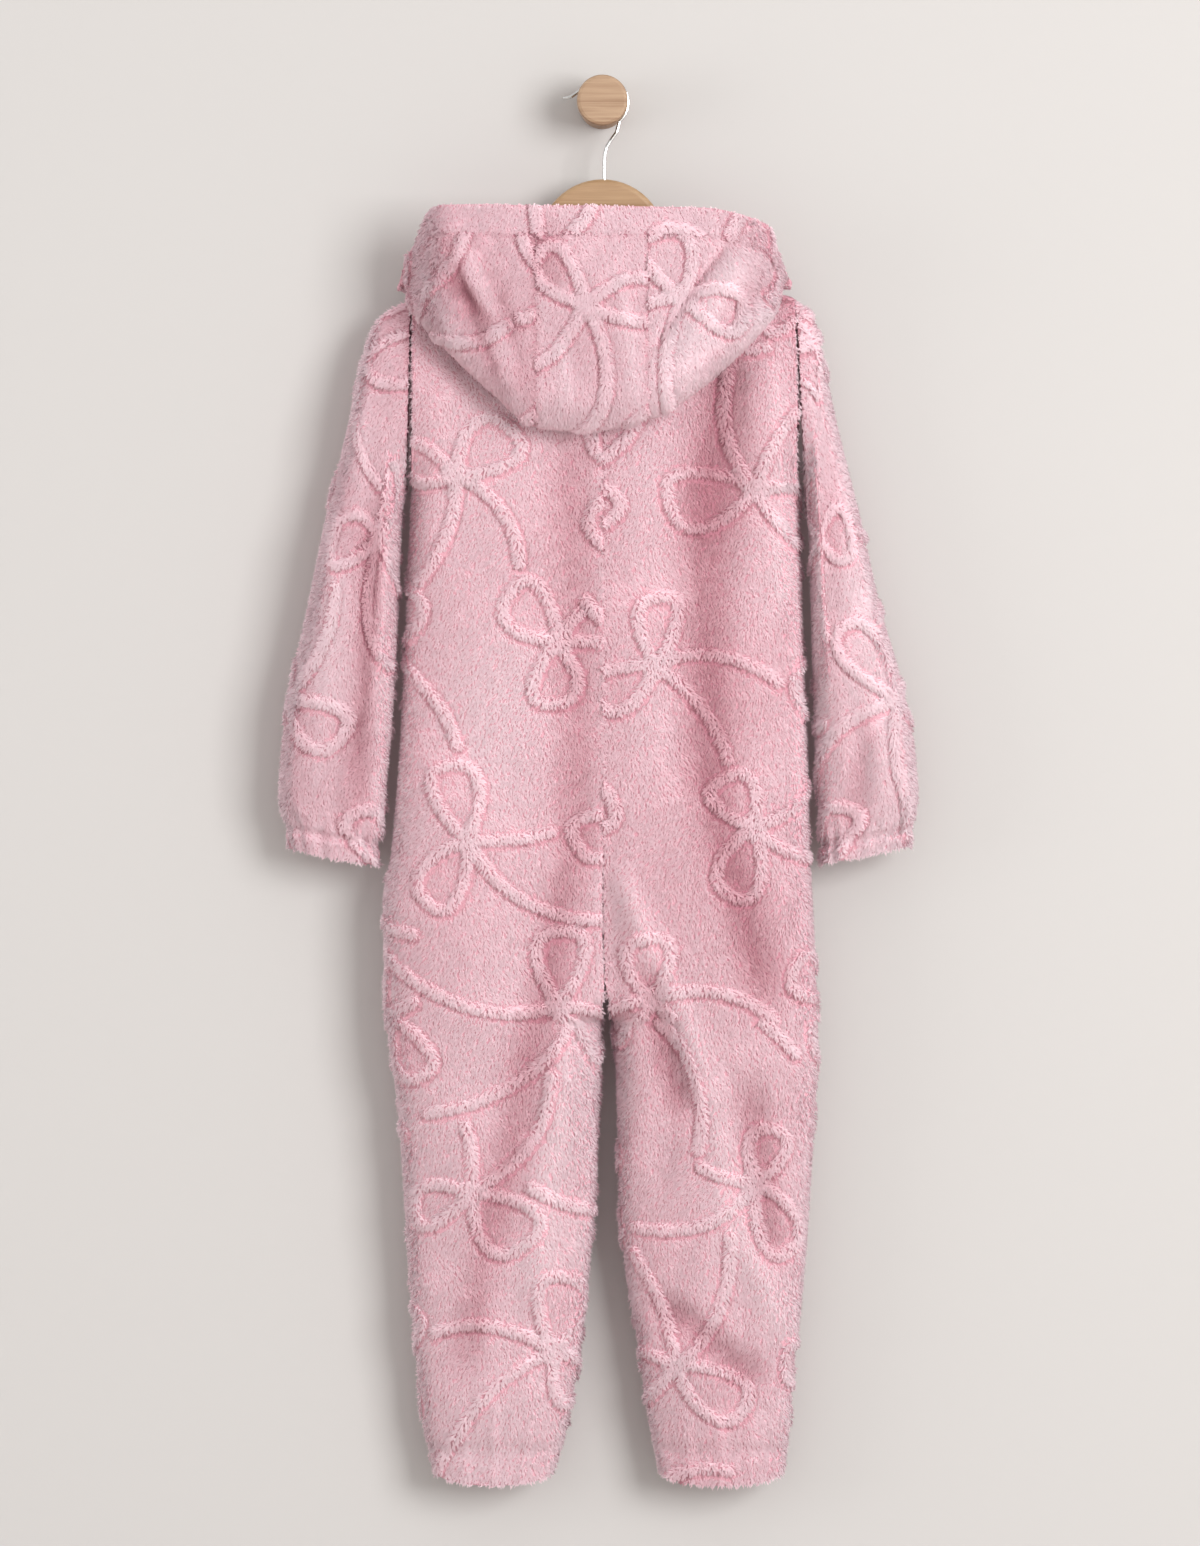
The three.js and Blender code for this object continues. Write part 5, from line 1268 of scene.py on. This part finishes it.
def ground_material():
    """The knit ground between the strands, with short fuzz as a fine bump. It is painted darker than the pile, as
    painted shade deep between the strands.
    """
    material, nodes, links, shader = new_material("plush_ground")
    place = node(nodes, "ShaderNodeTexCoord")
    combed = node(nodes, "ShaderNodeMapping")
    combed.inputs["Scale"].default_value = (1, 1, 0.3)
    fuzz = node(nodes, "ShaderNodeTexNoise", Scale=900.0, Detail=4.0, Roughness=0.7)
    links.new(place.outputs["Object"], combed.inputs["Vector"])
    links.new(combed.outputs["Vector"], fuzz.inputs["Vector"])
    tone_and_painted_light = node(nodes, "ShaderNodeAttribute", attribute_name="tone_and_painted_light")
    tone = node(nodes, "ShaderNodeMath", operation="ADD")
    links.new(fuzz.outputs["Fac"], tone.inputs[0])
    links.new(tone_and_painted_light.outputs["Fac"], tone.inputs[1])
    # Darker pinks than the pile's, as painted shade between the strands, shifted by the piece's painted light and
    # shade.
    colours = ramp(nodes, (0, srgb(166, 106, 120)), (0.35, srgb(192, 138, 150)), (0.7, srgb(212, 162, 173)))
    links.new(tone.outputs["Value"], colours.inputs["Fac"])
    links.new(colours.outputs["Color"], shader.inputs["Base Color"])
    bump = node(nodes, "ShaderNodeBump", Strength=0.6, Distance=0.001)
    links.new(fuzz.outputs["Fac"], bump.inputs["Height"])
    links.new(bump.outputs["Normal"], shader.inputs["Normal"])
    shader.inputs["Roughness"].default_value = 0.95
    return material


def knit_material():
    """The smooth inside of the cloth: fine knit wales."""
    material, nodes, links, shader = new_material("plush_inside")
    place = node(nodes, "ShaderNodeTexCoord")
    wales = node(nodes, "ShaderNodeTexWave", Scale=420.0, Distortion=1.5, Detail=2.0)
    links.new(place.outputs["Object"], wales.inputs["Vector"])
    colours = ramp(nodes, (0, srgb(190, 132, 142)), (1, srgb(222, 172, 180)))
    links.new(wales.outputs["Fac"], colours.inputs["Fac"])
    links.new(colours.outputs["Color"], shader.inputs["Base Color"])
    bump = node(nodes, "ShaderNodeBump", Strength=0.4, Distance=0.0004)
    links.new(wales.outputs["Fac"], bump.inputs["Height"])
    links.new(bump.outputs["Normal"], shader.inputs["Normal"])
    shader.inputs["Roughness"].default_value = 0.9
    return material


def wood_material(name, pale, dark, scale, axis, roughness):
    """Fine straight-grained wood. axis is the way the grain runs."""
    material, nodes, links, shader = new_material(name)
    place = node(nodes, "ShaderNodeTexCoord")
    stretch = node(nodes, "ShaderNodeMapping")
    stretch.inputs["Scale"].default_value = [8 if k == axis else scale for k in range(3)]
    links.new(place.outputs["Object"], stretch.inputs["Vector"])
    grain = node(nodes, "ShaderNodeTexNoise", Scale=1.0, Detail=6.0, Roughness=0.65, Distortion=0.6)
    links.new(stretch.outputs["Vector"], grain.inputs["Vector"])
    colours = ramp(nodes, (0.32, dark), (0.66, pale))
    links.new(grain.outputs["Fac"], colours.inputs["Fac"])
    links.new(colours.outputs["Color"], shader.inputs["Base Color"])
    bump = node(nodes, "ShaderNodeBump", Strength=0.25, Distance=0.0003)
    links.new(grain.outputs["Fac"], bump.inputs["Height"])
    links.new(bump.outputs["Normal"], shader.inputs["Normal"])
    shader.inputs["Roughness"].default_value = roughness
    return material


def steel_material():
    material, nodes, links, shader = new_material("hook_steel")
    place = node(nodes, "ShaderNodeTexCoord")
    drawn = node(nodes, "ShaderNodeTexNoise", Scale=700.0, Detail=2.0)
    links.new(place.outputs["Object"], drawn.inputs["Vector"])
    colours = ramp(nodes, (0.3, srgb(176, 176, 176)), (0.7, srgb(214, 213, 211)))
    links.new(drawn.outputs["Fac"], colours.inputs["Fac"])
    links.new(colours.outputs["Color"], shader.inputs["Base Color"])
    shader.inputs["Metallic"].default_value = 1.0
    shader.inputs["Roughness"].default_value = 0.24
    return material


def enamel_material(name, colour):
    material, nodes, links, shader = new_material(name)
    place = node(nodes, "ShaderNodeTexCoord")
    uneven = node(nodes, "ShaderNodeTexNoise", Scale=300.0, Detail=2.0)
    links.new(place.outputs["Object"], uneven.inputs["Vector"])
    bump = node(nodes, "ShaderNodeBump", Strength=0.1, Distance=0.0002)
    links.new(uneven.outputs["Fac"], bump.inputs["Height"])
    links.new(bump.outputs["Normal"], shader.inputs["Normal"])
    shader.inputs["Base Color"].default_value = colour
    shader.inputs["Roughness"].default_value = 0.3
    shader.inputs["Coat Weight"].default_value = 0.4
    return material


def coil_material():
    """The zip's closed coil: one bar after another, two millimetres apart."""
    material, nodes, links, shader = new_material("zip_coil")
    place = node(nodes, "ShaderNodeTexCoord")
    bars = node(nodes, "ShaderNodeTexWave", Scale=155.0, bands_direction="Z")
    links.new(place.outputs["Object"], bars.inputs["Vector"])
    colours = ramp(nodes, (0.1, srgb(150, 96, 108)), (0.6, srgb(212, 156, 168)))
    links.new(bars.outputs["Fac"], colours.inputs["Fac"])
    links.new(colours.outputs["Color"], shader.inputs["Base Color"])
    bump = node(nodes, "ShaderNodeBump", Strength=0.8, Distance=0.0006)
    links.new(bars.outputs["Fac"], bump.inputs["Height"])
    links.new(bump.outputs["Normal"], shader.inputs["Normal"])
    shader.inputs["Roughness"].default_value = 0.4
    return material


def woven_material():
    """The zip's tape: a tight weave."""
    material, nodes, links, shader = new_material("zip_tape")
    place = node(nodes, "ShaderNodeTexCoord")
    weave = node(nodes, "ShaderNodeTexChecker", Scale=2400.0)
    links.new(place.outputs["Object"], weave.inputs["Vector"])
    colours = ramp(nodes, (0, srgb(196, 138, 150)), (1, srgb(216, 160, 170)))
    links.new(weave.outputs["Fac"], colours.inputs["Fac"])
    links.new(colours.outputs["Color"], shader.inputs["Base Color"])
    shader.inputs["Roughness"].default_value = 0.85
    return material


def wall_material(name, colour, see_through_back):
    """Smooth painted wall. Seen from behind it isn't there, so that it never hides the object."""
    material, nodes, links, shader = new_material(name)
    place = node(nodes, "ShaderNodeTexCoord")
    paint = node(nodes, "ShaderNodeTexNoise", Scale=260.0, Detail=3.0)
    links.new(place.outputs["Object"], paint.inputs["Vector"])
    bump = node(nodes, "ShaderNodeBump", Strength=0.05, Distance=0.0005)
    links.new(paint.outputs["Fac"], bump.inputs["Height"])
    links.new(bump.outputs["Normal"], shader.inputs["Normal"])
    shader.inputs["Base Color"].default_value = colour
    shader.inputs["Roughness"].default_value = 0.9
    shader.inputs["Specular IOR Level"].default_value = 0.2
    if see_through_back:
        facing = node(nodes, "ShaderNodeNewGeometry")
        clear = node(nodes, "ShaderNodeBsdfTransparent")
        both = node(nodes, "ShaderNodeMixShader")
        links.new(facing.outputs["Backfacing"], both.inputs["Fac"])
        links.new(shader.outputs["BSDF"], both.inputs[1])
        links.new(clear.outputs["BSDF"], both.inputs[2])
        links.new(both.outputs["Shader"], nodes["Material Output"].inputs["Surface"])
    return material


plush_pile = pile_material("plush_pile", 0.4)
plush_ground = ground_material()
plush_inside = knit_material()
tape_weave = woven_material()
coil_plastic = coil_material()
zip_enamel = enamel_material("zip_metal", srgb(216, 160, 172))
beech = wood_material("hanger_wood", srgb(170, 140, 106), srgb(144, 112, 79), 260, 0, 0.42)
oak = wood_material("peg_wood", srgb(168, 140, 113), srgb(132, 101, 76), 300, 0, 0.6)
steel = steel_material()

# Strands per square millimetre, where the cloth faces the viewer and where it doesn't.
SEEN = 1.03
HIDDEN = 0.3
FRONT_HIDDEN = 0.42
SLEEVE_SEEN = 1.5
HOOD_SEEN = 1.6


def facing_density(cloth, seen, hidden):
    return mix(hidden, seen, ease((-cloth.normals[..., 1] + 0.25) / 0.3)) / STRANDS


def place(piece, slot, *nodes):
    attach(piece, BODY)
    if nodes:
        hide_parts(*nodes)


def finish_cloth(cloth, seen=SEEN, hidden=HIDDEN):
    wall = cloth_object(cloth, [plush_ground, plush_inside])
    place(wall, "plush", cloth.node)
    pile = grid_pile("pile_" + cloth.node, cloth, facing_density(cloth, seen, hidden), plush_pile, cloth.seed)
    place(pile, "plush")


finish_cloth(body_cloth("left", "back", BACK_STEP, 11))
finish_cloth(body_cloth("right", "back", BACK_STEP, 12))
finish_cloth(body_cloth("left", "front", FRONT_STEP, 13), hidden=FRONT_HIDDEN)
finish_cloth(body_cloth("right", "front", FRONT_STEP, 14), hidden=FRONT_HIDDEN)
finish_cloth(sleeve_cloth("left", BACK_STEP, 15), SLEEVE_SEEN)
finish_cloth(sleeve_cloth("right", BACK_STEP, 16), SLEEVE_SEEN)
finish_cloth(hood_cloth("hood_center", STRIP, PLACES, 17), HOOD_SEEN)
finish_cloth(hood_cloth("hood_left", -SIDE[::-1], PLACES, 18), HOOD_SEEN)
finish_cloth(hood_cloth("hood_right", SIDE, PLACES, 19), HOOD_SEEN)
finish_cloth(hood_cloth("hood_band", ROUND, BAND_PLACES, 20), HOOD_SEEN)

# Hardware that is shown as modelled; the zip's slider and pull get their edges eased.
SHOWN = {
    "zip_tape_left": (tape_weave, 0),
    "zip_tape_right": (tape_weave, 0),
    "zip_coil": (coil_plastic, 0),
    "zip_slider": (zip_enamel, 0.25),
    "zip_pull": (zip_enamel, 0.25),
    "hanger": (beech, 0),
    "hook": (steel, 0),
    "peg": (oak, 0),
}
for name, (material, edge) in SHOWN.items():
    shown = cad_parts[name]
    shown.data.materials.clear()
    shown.data.materials.append(material)
    if edge:
        bevel = shown.modifiers.new("eased", "BEVEL")
        bevel.width = edge * MM
        bevel.segments = 2

# Stage: the wall that the peg stands on, and a floor below.
WALL_COLOUR = srgb(184, 181, 179)


def stage_plane(name, corners, material):
    mesh = bpy.data.meshes.new(name)
    mesh.from_pydata(corners, [], [(0, 1, 2, 3)])
    mesh.materials.append(material)
    made = bpy.data.objects.new(name, mesh)
    bpy.context.scene.collection.objects.link(made)
    return made


wall = stage_plane(
    "room_wall",
    [(-6, 0.001, -1.5), (6, 0.001, -1.5), (6, 0.001, 3), (-6, 0.001, 3)],
    wall_material("wall_paint", WALL_COLOUR, True),
)
# Light from behind the wall reaches the side that hangs against it, so that side is seen as well.
wall.visible_shadow = False
floor = stage_plane(
    "room_floor",
    [(-6, -9, -1.5), (6, -9, -1.5), (6, 9, -1.5), (-6, 9, -1.5)],
    wall_material("floor_paint", srgb(186, 181, 177), False),
)


def area_light(name, location, target, size, watts, colour):
    data = bpy.data.lights.new(name, "AREA")
    data.size = size
    data.energy = watts
    data.color = colour
    lamp = bpy.data.objects.new(name, data)
    lamp.location = location
    aim = mathutils.Vector(target) - mathutils.Vector(location)
    lamp.rotation_euler = aim.to_track_quat("-Z", "Y").to_euler()
    bpy.context.scene.collection.objects.link(lamp)
    return lamp


world = bpy.data.worlds.new("room")
world.use_nodes = True
world.node_tree.nodes["Background"].inputs["Color"].default_value = (1, 0.99, 0.975, 1)
world.node_tree.nodes["Background"].inputs["Strength"].default_value = 0.99
bpy.context.scene.world = world
area_light("window", (2.9, -4.2, 0.3), (0, 0, -0.6), 2.4, 236, (1, 1, 1))
area_light("fill", (-3.2, -1.5, -0.4), (0, 0, -0.6), 1.6, 26, (1, 1, 1))
area_light("back_light", (-1.5, 2.6, 0.6), (0, 0, -0.6), 1.6, 30, (1, 1, 1))

camera = bpy.data.cameras.new("camera")
camera.sensor_width = 36
camera.lens = 163.2
camera_object = bpy.data.objects.new("camera", camera)
camera_object.location = (-0.002, -6.0, -0.571)
camera_object.rotation_euler = (math.radians(90), 0, 0)
bpy.context.scene.collection.objects.link(camera_object)
bpy.context.scene.camera = camera_object
bpy.context.scene.view_settings.view_transform = "Standard"
